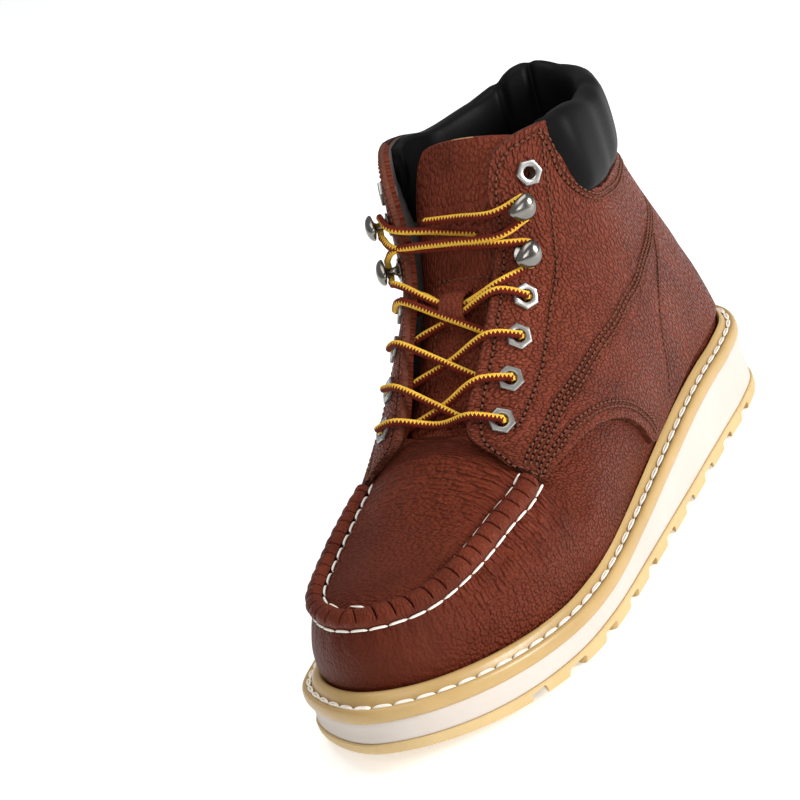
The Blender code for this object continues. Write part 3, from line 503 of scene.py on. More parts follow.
def makeMesh(name, points, faces, *materials, grain=None, **values):  # values: numbers for each point
    obj = newObject(name, toWorld(points), faces=faces)
    setAttribute(obj, "grain", "FLOAT_VECTOR", points if grain is None else grain)  # place in the hide, in mm
    for key, numbers in values.items():
        setAttribute(obj, key, "FLOAT", numbers)
    for material in materials:
        obj.data.materials.append(material)
    return obj


mend = dict(double=0.000002, thin=0.000001)  # metres


def closeMesh(obj, sharp=None):  # merge doubles, turn faces outwards, shade smooth
    work = bmesh.new()
    work.from_mesh(obj.data)
    bmesh.ops.remove_doubles(work, verts=work.verts, dist=mend["double"])
    bmesh.ops.dissolve_degenerate(work, edges=work.edges, dist=mend["thin"])
    bmesh.ops.recalc_face_normals(work, faces=work.faces)
    work.to_mesh(obj.data)
    work.free()
    smoothShade(obj, sharp)
    return obj


def smoothShade(obj, sharp=None):
    obj.data.shade_smooth()
    if sharp:
        obj.data.set_sharp_from_angle(angle=math.radians(sharp))


def bakeModifiers(obj):  # plain mesh of the evaluated object, modifiers removed
    graph = bpy.context.evaluated_depsgraph_get()
    mesh = bpy.data.meshes.new_from_object(obj.evaluated_get(graph))
    obj.modifiers.clear()
    old, obj.data = obj.data, mesh
    bpy.data.meshes.remove(old)
    mesh.name = obj.name
    return obj


def drop(obj):
    bpy.data.objects.remove(obj, do_unlink=True)


def cutWith(obj, *cutters):  # exact cuts, made real
    for cutter in cutters:
        cut = obj.modifiers.new("cut", "BOOLEAN")
        cut.object = cutter
        cut.solver = "EXACT"
    return bakeModifiers(obj)


def settle(obj, slot, *nodes):
    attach(obj, "root")
    if nodes:
        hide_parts(*nodes)
    return obj


def ladder(ring):  # faces across a closed ring, each lateral point to its medial twin
    count = len(ring)
    faces = [(ring[0], ring[1], ring[count - 1])]
    for i in range(1, count // 2 - 1):
        faces.append((ring[i], ring[i + 1], ring[count - i - 1], ring[count - i]))
    middle = count // 2
    faces.append((ring[middle - 1], ring[middle], ring[middle + 1]))
    return faces


def stacked(name, rings, material, sharp=40):  # closed body from rings one above the other
    count = len(rings[0])
    faces = ladder(list(range(count))) + gridFaces(len(rings), count, closed=True)
    last = (len(rings) - 1) * count
    faces += ladder(list(range(last, last + count)))
    return closeMesh(makeMesh(name, np.array(rings), faces, material), sharp)


def swept(name, profiles, material, closed, sharp=50, **values):  # closed profiles joined in turn
    count, total = len(profiles[0]), len(profiles)
    last = (total - 1) * count
    faces = gridFaces(total, count, closed=True)
    if closed:
        faces += [(last + i, last + (i + 1) % count, (i + 1) % count, i) for i in range(count)]
    else:
        faces += [tuple(range(count)), tuple(range(last, last + count))]
    return closeMesh(makeMesh(name, np.array(profiles), faces, material, **values), sharp)


def fromStart(points):  # distance along the first axis of a grid
    run = np.linalg.norm(np.diff(points, axis=0), axis=-1)
    return np.concatenate([np.zeros((1,) + run.shape[1:]), np.cumsum(run, axis=0)])


def edgeDistance(grid):  # distance of each point of a grid from its nearest border
    down = fromStart(grid)
    across = fromStart(np.swapaxes(grid, 0, 1)).T
    return np.minimum.reduce([down, down[-1] - down, across, across[:, -1:] - across])


def nearness(points, lines, width):  # 1 on the lines, falling to 0 a few widths away
    flat = points.reshape(-1, 3)
    best = np.full(len(flat), 1e9)
    reach, portion = 4 * width, 4000
    for line in lines:
        low, high = line.min(0) - reach, line.max(0) + reach
        near = np.where(np.all((flat > low) & (flat < high), axis=1))[0]
        for part in np.array_split(near, max(1, len(near) // portion)):
            if len(part):
                away = np.linalg.norm(flat[part][:, None] - line[None], axis=-1).min(1)
                best[part] = np.minimum(best[part], away)
    return np.exp(-(best / width) ** 2).reshape(points.shape[:-1])


def roundOff(away, reach):  # fall of a quarter round: 1 at the border, 0 from the reach on
    t = np.clip(away / reach, 0, 1)
    return 1 - np.sqrt(np.maximum(0, 1 - (1 - t) ** 2))


hideTaper = ((8.0, 11.0), (0.95, 0.62))  # section numbers and the share of the height


def hideTable():  # run round the wall and height of the wall, by section number
    u = np.linspace(0, half, 301)
    run = fromStart(wall(u, np.full(len(u), 0.5)))
    return u, run, np.linalg.norm(wall(u, np.ones(len(u))) - wall(u, np.zeros(len(u))), axis=1)


hideU, hideRun, hideHigh = hideTable()


def hidePlace(u, v, layer):  # place in the hide: pebbles stand taller towards the heel
    side = sideOf(u)
    run = np.interp(side, hideU, hideRun) * np.where(u <= half, 1, -1)
    high = v * np.interp(side, hideU, hideHigh) * np.interp(side, *hideTaper)
    return np.stack([run, high, np.full(u.shape, layer)], -1).reshape(-1, 3)


def sheetFaces(rows, columns):  # outer grid, inner grid after it, and the rim between them
    count = rows * columns
    faces = gridFaces(rows, columns) + [face[::-1] for face in gridFaces(rows, columns, count)]
    border = [(0, c) for c in range(columns)] + [(r, columns - 1) for r in range(1, rows)]
    border += [(rows - 1, c) for c in range(columns - 2, -1, -1)] + [(r, 0) for r in range(rows - 2, 0, -1)]
    border = [r * columns + c for r, c in border]
    return faces + [(a, b, b + count, a + count) for a, b in zip(border, border[1:] + border[:1])]


sheetShape = dict(low=0.08, roundEdge=0.9, roundShare=0.55, dent=0.42, dentWidth=1.3, dentShade=0.3,
                  calmEdge=4, rawWidth=0.8, rawShade=0.75, hideLayer=40.0, sharp=60)


def leatherSheet(name, u, v, top, material, lines, folds):
    # closed sheet of leather on the wall, with rounded borders, sewn dents and soft folds
    shape = sheetShape
    skin = offWall(u, v, np.full(u.shape, top))
    away = edgeDistance(skin)
    dent = nearness(skin, lines, shape["dentWidth"])
    fall = (top - shape["low"]) * shape["roundShare"] * roundOff(away, shape["roundEdge"])
    relief = -sum(depth * nearness(skin, [line], width) for line, depth, width in folds)
    lift = top - fall - shape["dent"] * dent + relief * np.clip(away / shape["calmEdge"], 0, 1)
    outer = offWall(u, v, lift)
    inner = offWall(u, v, np.full(u.shape, shape["low"]))
    points = np.concatenate([outer.reshape(-1, 3), inner.reshape(-1, 3)])
    border = np.clip(1 - away / shape["rawWidth"], 0, 1) * shape["rawShade"]
    raw = np.concatenate([border.ravel(), np.ones(u.size)])
    # crease: painted shade along the sewn dents
    crease = np.concatenate([shape["dentShade"] * dent.ravel(), np.zeros(u.size)])
    hide = hidePlace(u, v, shape["hideLayer"])
    sheet = makeMesh(name, points, sheetFaces(*u.shape), material, grain=np.concatenate([hide, hide]),
                     edge=raw, crease=crease, plain=raw)
    return closeMesh(sheet, shape["sharp"])


# Geometry node trees: a shape at every point, and rows of stitches along lines
worldSigns = np.array([-1, -1, 1])  # directions of the boot as directions of the world


def nodeTree(name, inputs, output):
    tree = bpy.data.node_groups.new(name, "GeometryNodeTree")
    for label, kind in inputs:
        tree.interface.new_socket(label, in_out="INPUT", socket_type="NodeSocket" + kind)
    tree.interface.new_socket(output, in_out="OUTPUT", socket_type="NodeSocketGeometry")
    return tree, tree.nodes.new("NodeGroupInput").outputs, tree.nodes.new("NodeGroupOutput").inputs[0]


def vectorAttribute(tree, name):
    node = put(tree, "GeometryNodeInputNamedAttribute", data_type="FLOAT_VECTOR", Name=name)
    return node.outputs["Attribute"]


def setShapes(tree, points, ahead, shape, material, size=None):  # turned ahead and outwards
    facing = put(tree, "FunctionNodeAlignRotationToVector", axis="X")
    wire(tree, ahead, facing.inputs["Vector"])
    upright = put(tree, "FunctionNodeAlignRotationToVector", axis="Z", pivot_axis="X")
    wire(tree, facing.outputs[0], upright.inputs["Rotation"])
    wire(tree, vectorAttribute(tree, "out"), upright.inputs["Vector"])
    info = tree.nodes.new("GeometryNodeObjectInfo")
    wire(tree, shape, info.inputs["Object"])
    many = tree.nodes.new("GeometryNodeInstanceOnPoints")
    wire(tree, points, many.inputs["Points"])
    wire(tree, info.outputs["Geometry"], many.inputs["Instance"])
    wire(tree, upright.outputs[0], many.inputs["Rotation"])
    if size is not None:
        wire(tree, size, many.inputs["Scale"])
    real = tree.nodes.new("GeometryNodeRealizeInstances")
    wire(tree, many.outputs[0], real.inputs[0])
    paint = tree.nodes.new("GeometryNodeSetMaterial")
    wire(tree, real.outputs[0], paint.inputs["Geometry"])
    wire(tree, material, paint.inputs["Material"])
    return paint.outputs[0]


def applyTree(obj, tree, values):  # named inputs, set by socket identifier, then a plain mesh
    change = obj.modifiers.new(tree.name, "NODES")
    change.node_group = tree
    for item in tree.interface.items_tree:
        if item.in_out == "INPUT" and item.name in values:
            change[item.identifier] = values[item.name]
    return bakeModifiers(obj)


# Stitches: one node tree sets a thread shape, and a flat dark disc of painted hole shade, along every line of
# an object
threadForm = dict(thin=0.12, rise=0.3, dip=0.75, holeRise=0.06, holeSides=6)


def threadShape(name, sides, rings, bow):  # unit thread along X, its ends turned down into the leather
    points = []
    for x in np.linspace(-0.5, 0.5, rings):
        edge = abs(2 * x)
        radius = 0.5 * max(threadForm["thin"], 1 - edge**6) ** 0.5
        rise = threadForm["rise"] - threadForm["dip"] * edge**4
        points += [(x, bow * (1 - edge**2) + radius * math.cos(turn), rise + radius * math.sin(turn))
                   for turn in turns(sides)]
    faces = gridFaces(rings, sides, closed=True)
    faces += [tuple(range(sides))[::-1], tuple(range((rings - 1) * sides, rings * sides))]
    obj = newObject(name, points, faces=faces)
    smoothShade(obj)
    return obj


def holeShape(name):  # flat unit disc, a little raised in the middle, painted dark as the shade inside a stitch hole
    sides = threadForm["holeSides"]
    points = [(0, 0, threadForm["holeRise"])]
    points += [(0.5 * math.cos(turn), 0.5 * math.sin(turn), 0) for turn in turns(sides)]
    faces = [(0, 1 + s, 1 + (s + 1) % sides) for s in range(sides)] + [tuple(range(sides, 0, -1))]
    return newObject(name, points, faces=faces)


def stitchTree():
    inputs = (("Lines", "Geometry"), ("Thread Shape", "Object"), ("Hole Shape", "Object"), ("Pitch", "Float"),
              ("Stitch Length", "Float"), ("Thread Size", "Float"), ("Hole Size", "Float"),
              ("Thread", "Material"), ("Hole", "Material"))
    tree, given, result = nodeTree("stitchRow", inputs, "Stitches")
    curve = tree.nodes.new("GeometryNodeMeshToCurve")
    wire(tree, given["Lines"], curve.inputs[0])
    joined = tree.nodes.new("GeometryNodeJoinGeometry")

    def setAlong(line, shape, sizes, material):
        spaced = put(tree, "GeometryNodeResampleCurve", mode="LENGTH")
        wire(tree, line, spaced.inputs["Curve"])
        wire(tree, given["Pitch"], spaced.inputs["Length"])
        scale = tree.nodes.new("ShaderNodeCombineXYZ")
        for socket, size in zip(scale.inputs, sizes):
            wire(tree, given[size], socket)
        ahead = tree.nodes.new("GeometryNodeInputTangent").outputs[0]
        row = setShapes(tree, spaced.outputs[0], ahead, given[shape], given[material], scale.outputs[0])
        wire(tree, row, joined.inputs[0])

    setAlong(curve.outputs[0], "Thread Shape", ("Stitch Length", "Thread Size", "Thread Size"), "Thread")
    trimmed = put(tree, "GeometryNodeTrimCurve", mode="LENGTH")  # holes lie between the stitches
    wire(tree, curve.outputs[0], trimmed.inputs["Curve"])
    wire(tree, mathNode(tree, "MULTIPLY", given["Pitch"], 0.5), trimmed.inputs[4])
    trimmed.inputs[5].default_value = 100.0  # past the end of every line
    setAlong(trimmed.outputs[0], "Hole Shape", ("Hole Size",) * 3, "Hole")
    wire(tree, joined.outputs[0], result)
    return tree


rowTree = stitchTree()


def sew(name, lines, row, thread, slot, bow=0.0):
    # lines are (points, outward directions) and a row has its sizes in boot millimetres
    points, edges, outs = [], [], []
    for line, out in lines:
        first = len(points)
        points += toWorld(line).tolist()
        edges += [(first + i, first + i + 1) for i in range(len(line) - 1)]
        outs += (np.asarray(out) * worldSigns).tolist()
    obj = newObject(name, points, edges)
    setAttribute(obj, "out", "FLOAT_VECTOR", outs)
    shape = threadShape(name + "Shape", row["sides"], row["rings"], bow)
    ring = holeShape(name + "Hole")
    applyTree(obj, rowTree, {
        "Thread Shape": shape, "Hole Shape": ring, "Pitch": row["pitch"] / 1000,
        "Stitch Length": row["length"] / 1000, "Thread Size": row["thread"] / 1000,
        "Hole Size": row["hole"] / 1000, "Thread": finish[thread], "Hole": finish["pinhole"]})
    drop(shape)
    drop(ring)
    return settle(obj, slot)


def wallLine(table, side, lift, step=1.0, shift=0.0):  # smooth line on the wall, with its outward directions
    fine = smoothRows(table, 40 * len(table))
    u = onSide(fine[:, 0], side)
    line = offWall(u, fine[:, 1], np.full(len(u), lift))
    out = wallNormal(u, fine[:, 1])
    if shift:  # a row beside the table's line
        line = line + unit(np.cross(np.gradient(line, axis=0), out)) * shift * side
    both = evenSteps(np.concatenate([line, out], 1), step)
    return both[:, :3], unit(both[:, 3:])


# Sole: rings are (inset, rise above the floor) at the foot and (inset, fall below the top) at the brim
tread = dict(thick=6.0, groove=3.6, first=50.0, pitch=22.6, count=10, width=9.5, wave=24.8, height=4.0,
             steps=16, flare=0.5, taper=0.8, foot=((1.9, 0.0), (1.2, 0.25), (0.95, 1.0), (0.6, 2.0)),
             brim=((0.6, 0.5), (1.0, 0.0)), columns=10, toeThin=1.6, thinFrom=205.0, thinTo=285.0, sharp=32)
foam = dict(base=1.2, waist=1.7, steps=9, lip=0.35, lipShare=0.12)
padArc = dict(reach=1.75, inset=9.5, below=0.05, steps=200,  # white arc under the toe pad
              row=dict(pitch=7.6, length=6.4, thread=1.1, hole=0.8, sides=8, rings=7))
soleColumns = np.arange(0, roundTrip, 1 / tread["columns"])


def soleRing(inset, height):
    flat = plan(soleColumns, np.full(len(soleColumns), inset))
    return withHeight(flat, height(flat[:, 0]))


def treadTop(along):  # the outsole is thinner at the toe
    thin = fadeIn(along, tread["thinFrom"], tread["thinTo"] - tread["thinFrom"])
    return spring(along) + tread["thick"] - tread["toeThin"] * thin


def grooveCutter(number):  # wavy groove across the tread
    along = tread["first"] + tread["pitch"] * number
    reach = soleLine[:, 1].max() + tread["wave"] / 2
    out = np.linspace(-reach, reach, int(2 * reach / tread["wave"] * tread["steps"]) + 1)
    wave = tread["height"] * np.cos(2 * math.pi * out / tread["wave"])
    top = spring(along) + tread["groove"]
    flare, taper = tread["flare"], tread["taper"]
    levels = ((-tread["groove"], flare), (top - taper, 0.0), (top, -taper))  # deeper is narrower
    rings = []
    for level, more in levels:
        front = np.stack([along + wave + tread["width"] / 2 + more, out, np.full(len(out), level)], -1)
        back = np.stack([along + wave - tread["width"] / 2 - more, out, np.full(len(out), level)], -1)
        rings.append(np.vstack([front, back[::-1]]))
    n = len(rings[0])
    faces = gridFaces(len(rings), n, closed=True)
    last = (len(rings) - 1) * n
    for i in range(n // 2 - 1):
        faces.append((i, i + 1, n - 2 - i, n - 1 - i))
        faces.append((last + i, last + i + 1, last + n - 2 - i, last + n - 1 - i))
    return closeMesh(makeMesh(f"grooveCutter{number}", np.array(rings), faces))


def makeTread():
    rings = [soleRing(inset, lambda s, rise=rise: spring(s) + rise) for inset, rise in tread["foot"]]
    rings += [soleRing(inset, lambda s, fall=fall: treadTop(s) - fall) for inset, fall in tread["brim"]]
    outsole = stacked("outsoleTread", rings, finish["outsole"])
    cutters = [grooveCutter(n) for n in range(tread["count"])]
    cutWith(outsole, *cutters)
    for cutter in cutters:
        drop(cutter)
    smoothShade(outsole, tread["sharp"])
    settle(outsole, "outsole", "outsole")
    u = np.linspace(-padArc["reach"], padArc["reach"], padArc["steps"])
    flat = plan(u, np.full(len(u), padArc["inset"]))
    line = evenSteps(withHeight(flat, spring(flat[:, 0]) - padArc["below"]), 1.0)
    lines = [(line, np.tile((0, 0, -1.0), (len(line), 1)))]
    sew("padStitches", lines, padArc["row"], "whiteThread", "outsole")


def foamLevel(along, share):  # from the tread (0) to the welt (1)
    gap = boot["gap"] / 2
    return (treadTop(along) + gap) * (1 - share) + (weltUnder(along) - gap) * share


def makeFoam():
    lip = foam["lipShare"]
    rings = []
    for share in np.linspace(0, 1, foam["steps"]):
        inset = foam["base"] + (foam["waist"] - foam["base"]) * math.sin(math.pi * share)
        inset += foam["lip"] * (max(0, lip - share) + max(0, share - (1 - lip))) / lip
        rings.append(soleRing(inset, lambda s, share=share: foamLevel(s, share)))
    settle(stacked("midsoleFoam", rings, finish["midsole"]), "midsole", "midsole")


makeTread()
makeFoam()
print("sole made")

# Welt: distance in from the sole's edge and height above its underside
weltShape = dict(
    profile=((1.2, 0.0), (0.45, 0.5), (0.05, 1.6), (0.0, 3.0), (0.12, 4.4), (0.5, 5.4), (1.1, 5.95),
             (1.8, 6.0), (2.3, 5.6), (2.65, 4.9), (3.3, 4.7), (3.9, 4.95), (4.25, 5.9)),
    bead=((0.16, 7.5), (0.36, 8.6), (0.58, 9.0), (0.8, 8.6), (0.94, 7.8)), inner=(7.0, 5.0, 2.5, 0.0),
    sharp=60, bows=(-0.62, 0.62), inset=3.2, rise=5.75, steps=900,
    row=dict(pitch=7.9, length=7.8, thread=0.9, hole=0.5, sides=8, rings=9),
)


def riseToV(u, height):
    v = np.linspace(0, 0.6, 61)
    return float(np.interp(height, wall(np.full_like(v, u), v)[:, 2], v))


def makeWelt():
    profiles = []
    for u in soleColumns:
        profile = []
        for inset, rise in weltShape["profile"]:
            flat = plan(u, inset)
            profile.append(np.append(flat, weltUnder(flat[0]) + rise))
        under = weltUnder(plan(u)[0])
        inner = []
        for rise in weltShape["inner"]:
            point = offWall(u, riseToV(u, under + max(rise, boot["gap"])), boot["gap"])
            point[2] = under + rise
            inner.append(point)
        outer = profile[-1]
        for share, rise in weltShape["bead"]:
            crest = outer + (inner[0] - outer) * share
            crest[2] = under + rise
            profile.append(crest)
        profiles.append(np.array(profile + inner))
    settle(swept("weltStrip", profiles, finish["welt"], True, weltShape["sharp"]), "welt", "welt")
    u = np.linspace(0, roundTrip, weltShape["steps"])
    flat = plan(u, np.full(len(u), weltShape["inset"]))
    line = evenSteps(withHeight(flat, weltUnder(flat[:, 0]) + weltShape["rise"]), 1.0)
    lines = [(line, np.tile((0, 0, 1.0), (len(line), 1)))]
    for number, bow in enumerate(weltShape["bows"]):  # each stitch is two strands that bow apart
        sew(f"weltStitches{number + 1}", lines, weltShape["row"], "whiteThread", "welt", bow)


makeWelt()
print("welt sewn")

insoleShape = dict(gaps=3, sharp=60, profile=((0.6, 0.0), (0.0, 0.6), (0.0, 3.4), (0.7, 4.0), (3.0, 3.8),
                                              (8.0, 3.3), (14.0, 3.1)))


def makeInsole():
    flat = around(insetColumn, soleColumns)[:, 0] + boot["footTuck"] + boot["wall"]
    flat = flat + insoleShape["gaps"] * boot["gap"]
    rings = []
    for more, rise in insoleShape["profile"]:
        ring = plan(soleColumns, flat + more)
        rings.append(withHeight(ring, weltUnder(ring[:, 0]) + rise))
    settle(stacked("insoleBed", rings, finish["insole"], insoleShape["sharp"]), "insole", "insole")


makeInsole()

# Tongue rows from under the plug to the top: along, up, half width, drop of the edges
tongueRows = ((206, 73.8, 19, 5), (195, 79.3, 22, 6.5), (184, 87.3, 23, 8), (171, 98.3, 24, 9.5),
              (158, 110, 25, 11), (146.5, 123, 26, 11.5), (137, 138, 28, 12), (127, 152, 29, 12),
              (115, 166, 29, 12))
tongueShape = dict(thick=3.0, steps=90, fine=81, across=36, corner=9.0, cutRow=0.55, sharp=50,
                   roundEdge=1.2, roundFall=1.0, thinFall=0.8, tanEdge=1.2, tanTop=2.0,
                   panelTop=146.0, panelFoot=172.0, panelHalf=12.5, panelRise=0.6,
                   panelSoft=1.2, footSoft=3.0, rowIn=1.6, rowTop=2.0, rowFoot=3.0, rowSunk=0.1, rowSteps=25,
                   row=dict(pitch=2.6, length=2.1, thread=0.8, hole=1.1, sides=6, rings=5))


def tonguePoint(row, run, place):
    along, up, wide, fall = row
    inward = np.array([-run[1], run[0]])
    inward = inward * -np.sign(inward[1])
    sink = fall * place**2
    return np.array([along + inward[0] * sink, wide * place, up + inward[1] * sink])


def tongueRuns(count):
    rows = smoothRows(tongueRows, count)
    run = unit(np.gradient(rows[:, :2], axis=0))
    return rows, run


# Upper: vamp wall and toe plug, with soft creases across the ball
upperShape = dict(columns=14, rows=64, wallHigh=26.0,  # about the height of the vamp in millimetres
                  pucker=6.6, puckerDepth=0.25, puckerReach=9.0, puckerSway=(0.8, 0.31), puckerEnd=(5.6, 0.6),
                  wrinkleReach=15.0, wrinkleEnd=(5.8, 0.8), wrinkleFrom=(1, 2), wrinkleLeast=0.45,
                  plainMost=0.85, plainEnd=(3.2, 1.6), plainFrom=(-4, 10), sharp=60)
plugShape = dict(across=44, last=7, turn=4.9, rim=0.2, throat=0.8, throatFrom=(6.3, 0.7),
                 valley=1.6, valleyAt=4.4, valleyWidth=2.8, valleyEnd=(5.4, 0.8), hideShare=0.8, hideLayer=80,
                 plainMost=0.7, plainEnd=(4.4, 2.0), plainFrom=(3, 6),
                 wrinkleMost=0.95, wrinkleFrom=(2.5, 2.0), wrinkleFall=0.6)
underLace = dict(width=0.66, hideWidth=20, wrinkle=0.4,  # rows: along, lift
                 rows=((195.5, 3.0), (191, 2.2), (187, 1.5), (183, 0.9), (179, 0.5), (175, 0.2)))
vampCreases = (  # lines of (section number, height) on the wall, depth, width
    (((4.55, 0.98), (4.75, 0.8), (5.15, 0.62), (5.5, 0.45)), 0.55, 2.2),
    (((4.2, 0.98), (4.35, 0.82), (4.7, 0.66)), 0.4, 2.0),
    (((5.05, 0.78), (5.4, 0.6), (5.9, 0.45)), 0.45, 2.4),
    (((3.8, 0.97), (3.9, 0.84), (4.1, 0.72)), 0.3, 1.8),
)


def seamLength():  # distance along the toe seam for section numbers from the toe tip
    u = np.linspace(0, plugShape["last"], 700)
    return u, fromStart(wall(u, np.ones(len(u))))


seamU, seamRun = seamLength()


def vampRelief(u, v, skin):
    run = np.interp(sideOf(u), seamU, seamRun)
    below = (1 - v) * upperShape["wallHigh"]
    sway, swayRate = upperShape["puckerSway"]
    end, over = upperShape["puckerEnd"]
    wave = np.sin(2 * math.pi * run / upperShape["pucker"] + sway * np.sin(run * swayRate))
    fade = np.exp(-(below / upperShape["puckerReach"]) ** 2) * np.clip((end - sideOf(u)) / over, 0, 1)
    lift = upperShape["puckerDepth"] * wave * fade
    for table, depth, width in vampCreases:
        for way in (1, -1):
            lift -= depth * nearness(skin, [wallLine(table, way, 0.0)[0]], width)
    return lift


def vampHide(u, v):  # how wrinkled and how plain the hide of the wall is; plain hide also gets painted shade
    side, below = sideOf(u), (1 - v) * upperShape["wallHigh"]
    least = upperShape["wrinkleLeast"]
    wrinkle = np.exp(-(below / upperShape["wrinkleReach"]) ** 2) * fadeOut(side, *upperShape["wrinkleEnd"])
    wrinkle = wrinkle * (least + (1 - least) * fadeIn(side, *upperShape["wrinkleFrom"]))
    plain = upperShape["plainMost"] * fadeOut(side, *upperShape["plainEnd"])
    plain = plain * fadeIn(below, *upperShape["plainFrom"])
    return wrinkle.ravel(), plain.ravel()


def plugStrip(here, across):  # one row of the plug, its width and each point's distance from the seam
    strip = plug(np.full_like(across, here), across)
    turn, last = plugShape["turn"], plugShape["last"]
    if here > turn:  # even rows where the plug turns up to the tongue
        t = (here - turn) / (last - turn)
        ends = [plug(np.full_like(across, place), across) for place in (turn, last)]
        inside = smoothStep(np.minimum(across, 1 - across) / plugShape["rim"])[:, None]
        strip = strip * (1 - inside) + (ends[0] * (1 - t) + ends[1] * t) * inside
    wide = np.linalg.norm(wall(here, 1.0) - wall(roundTrip - here, 1.0))
    away = np.minimum(np.minimum(across, 1 - across) * wide, wall(0, 1.0)[0] - strip[:, 0])
    valley = plugShape["valley"] * np.exp(-((away - plugShape["valleyAt"]) / plugShape["valleyWidth"]) ** 2)
    sunk = valley * fadeOut(here, *plugShape["valleyEnd"])
    strip[:, 2] -= sunk + plugShape["throat"] * fadeIn(here, *plugShape["throatFrom"])
    return strip, wide, away


def underStrip(along, lift, wide):  # under the lace the vamp lies on the tongue
    table = np.array(tongueRows)
    row = np.array([np.interp(-along, -table[:, 0], column) for column in table.T])
    rise = np.interp(-along, -table[:, 0], np.gradient(table[:, 1], table[:, 0]))
    run = unit(np.array([1.0, rise]))
    out = np.array([-run[1], 0, run[0]])
    return np.array([tonguePoint(row, -run, -w * underLace["width"]) + out * lift for w in wide])


def makeUpper():
    columns = np.arange(0, roundTrip, 1 / upperShape["columns"])
    count = len(columns)
    rows = np.linspace(0, 1, upperShape["rows"] + 1)
    u, v = np.meshgrid(columns, rows)
    points = [offWall(u, v, vampRelief(u, v, wall(u, v))).reshape(-1, 3)]
    hide = [hidePlace(u, v, 0.0)]
    wrinkle, plain = [[values] for values in vampHide(u, v)]
    faces = gridFaces(len(rows), count, closed=True)
    top = (len(rows) - 1) * count
    strips, total = [], top + count
    hideShare, layer = plugShape["hideShare"], plugShape["hideLayer"]
    across = np.linspace(0, 1, plugShape["across"] + 1)[1:-1]
    for i in range(1, plugShape["last"] * upperShape["columns"] + 1):
        here = columns[i]
        strip, wide, away = plugStrip(here, across)
        points.append(strip)
        run = np.interp(here, seamU, seamRun)
        hide.append(np.stack([run + 0 * across, hideShare * across * wide, 0 * across + layer], -1))
        # plain: smooth hide near the toe, which also gets painted shade
        smooth = plugShape["plainMost"] * fadeOut(here, *plugShape["plainEnd"])
        plain.append(smooth * fadeIn(away, *plugShape["plainFrom"]))
        rough = plugShape["wrinkleMost"] * fadeIn(here, *plugShape["wrinkleFrom"])
        wrinkle.append(rough * (1 - plugShape["wrinkleFall"] * across))
        strips.append([top + i] + list(range(total, total + len(across))) + [top + count - i])
        total += len(across)
    wide = np.linspace(-1, 1, len(across) + 2)
    for along, lift in underLace["rows"]:
        points.append(underStrip(along, lift, wide))
        run, width = boot["length"] - along, hideShare * underLace["hideWidth"]
        hide.append(np.stack([0 * wide + run, width * wide, 0 * wide + layer], -1))
        plain.append(0 * wide)
        wrinkle.append(0 * wide + underLace["wrinkle"])
        strips.append(list(range(total, total + len(wide))))
        total += len(wide)
    faces += [(top, a, b) for a, b in zip(strips[0], strips[0][1:])]
    for strip, following in zip(strips, strips[1:]):
        faces += [(strip[k], following[k], following[k + 1], strip[k + 1]) for k in range(len(strip) - 1)]
    upper = makeMesh("upperLeather", np.vstack(points), faces, finish["vamp"], finish["lining"],
                     grain=np.vstack(hide), wrinkle=np.concatenate(wrinkle), plain=np.concatenate(plain))
    closeMesh(upper)
    shell = upper.modifiers.new("thickness", "SOLIDIFY")
    shell.thickness = boot["wall"] / 1000
    shell.offset = -1
    shell.material_offset = 1
    bakeModifiers(upper)
    smoothShade(upper, upperShape["sharp"])
    return upper


upper = makeUpper()
print("upper made")

# Quarters: lower edge over the vamp and top edge, by section number
bootSides = ((1, "lateral"), (-1, "medial"))
quarterShape = dict(
    lower=((4.98, 0.985), (5.3, 0.88), (5.67, 0.775), (6.58, 0.65), (7.25, 0.56), (7.66, 0.48), (7.94, 0.41),
           (8.2, 0.33), (8.4, 0.23), (8.52, 0.13), (8.7, 0.1), (10, 0.09), (15, 0.08)),
    upper=((10.88, 1.0), (10.96, 0.97), (11.0, 0.9), (11.03, 0.8), (11.08, 0.755), (11.18, 0.728),
           (11.35, 0.72), (11.6, 0.727), (12, 0.745), (13, 0.76), (15, 0.755)),
    steps=((4.98, 8.0, 0.05), (8.0, 8.9, 0.02), (8.9, 10.86, 0.06), (10.86, 11.4, 0.02), (11.4, 14.99, 0.08)),
    last=14.985, rows=56, ends=(0, 0.004, 0.01, 0.02), inner=(0.035, 0.965),
    lean=0.24, leanAt=(10.9, 0.82), leanReach=(0.3, 0.1),
    sunk=0.28, row=dict(pitch=2.6, length=2.1, thread=0.85, hole=1.2, sides=6, rings=5),
)


def quarterGrid(side):
    steps = [np.arange(*step) for step in quarterShape["steps"]]
    u = np.unique(np.round(np.concatenate(steps + [[quarterShape["last"]]]), 4))
    low = np.interp(u, *zip(*quarterShape["lower"]))
    high = np.interp(u, *zip(*quarterShape["upper"]))
    ends = np.array(quarterShape["ends"])
    share = np.concatenate([ends, np.linspace(*quarterShape["inner"], quarterShape["rows"]), 1 - ends[::-1]])
    v = low[None] + (high - low)[None] * share[:, None]
    at, reach = quarterShape["leanAt"], quarterShape["leanReach"]
    u = u - quarterShape["lean"] * np.exp(-((v - at[1]) / reach[1]) ** 2 - ((u - at[0]) / reach[0]) ** 2)
    return onSide(u, side), v


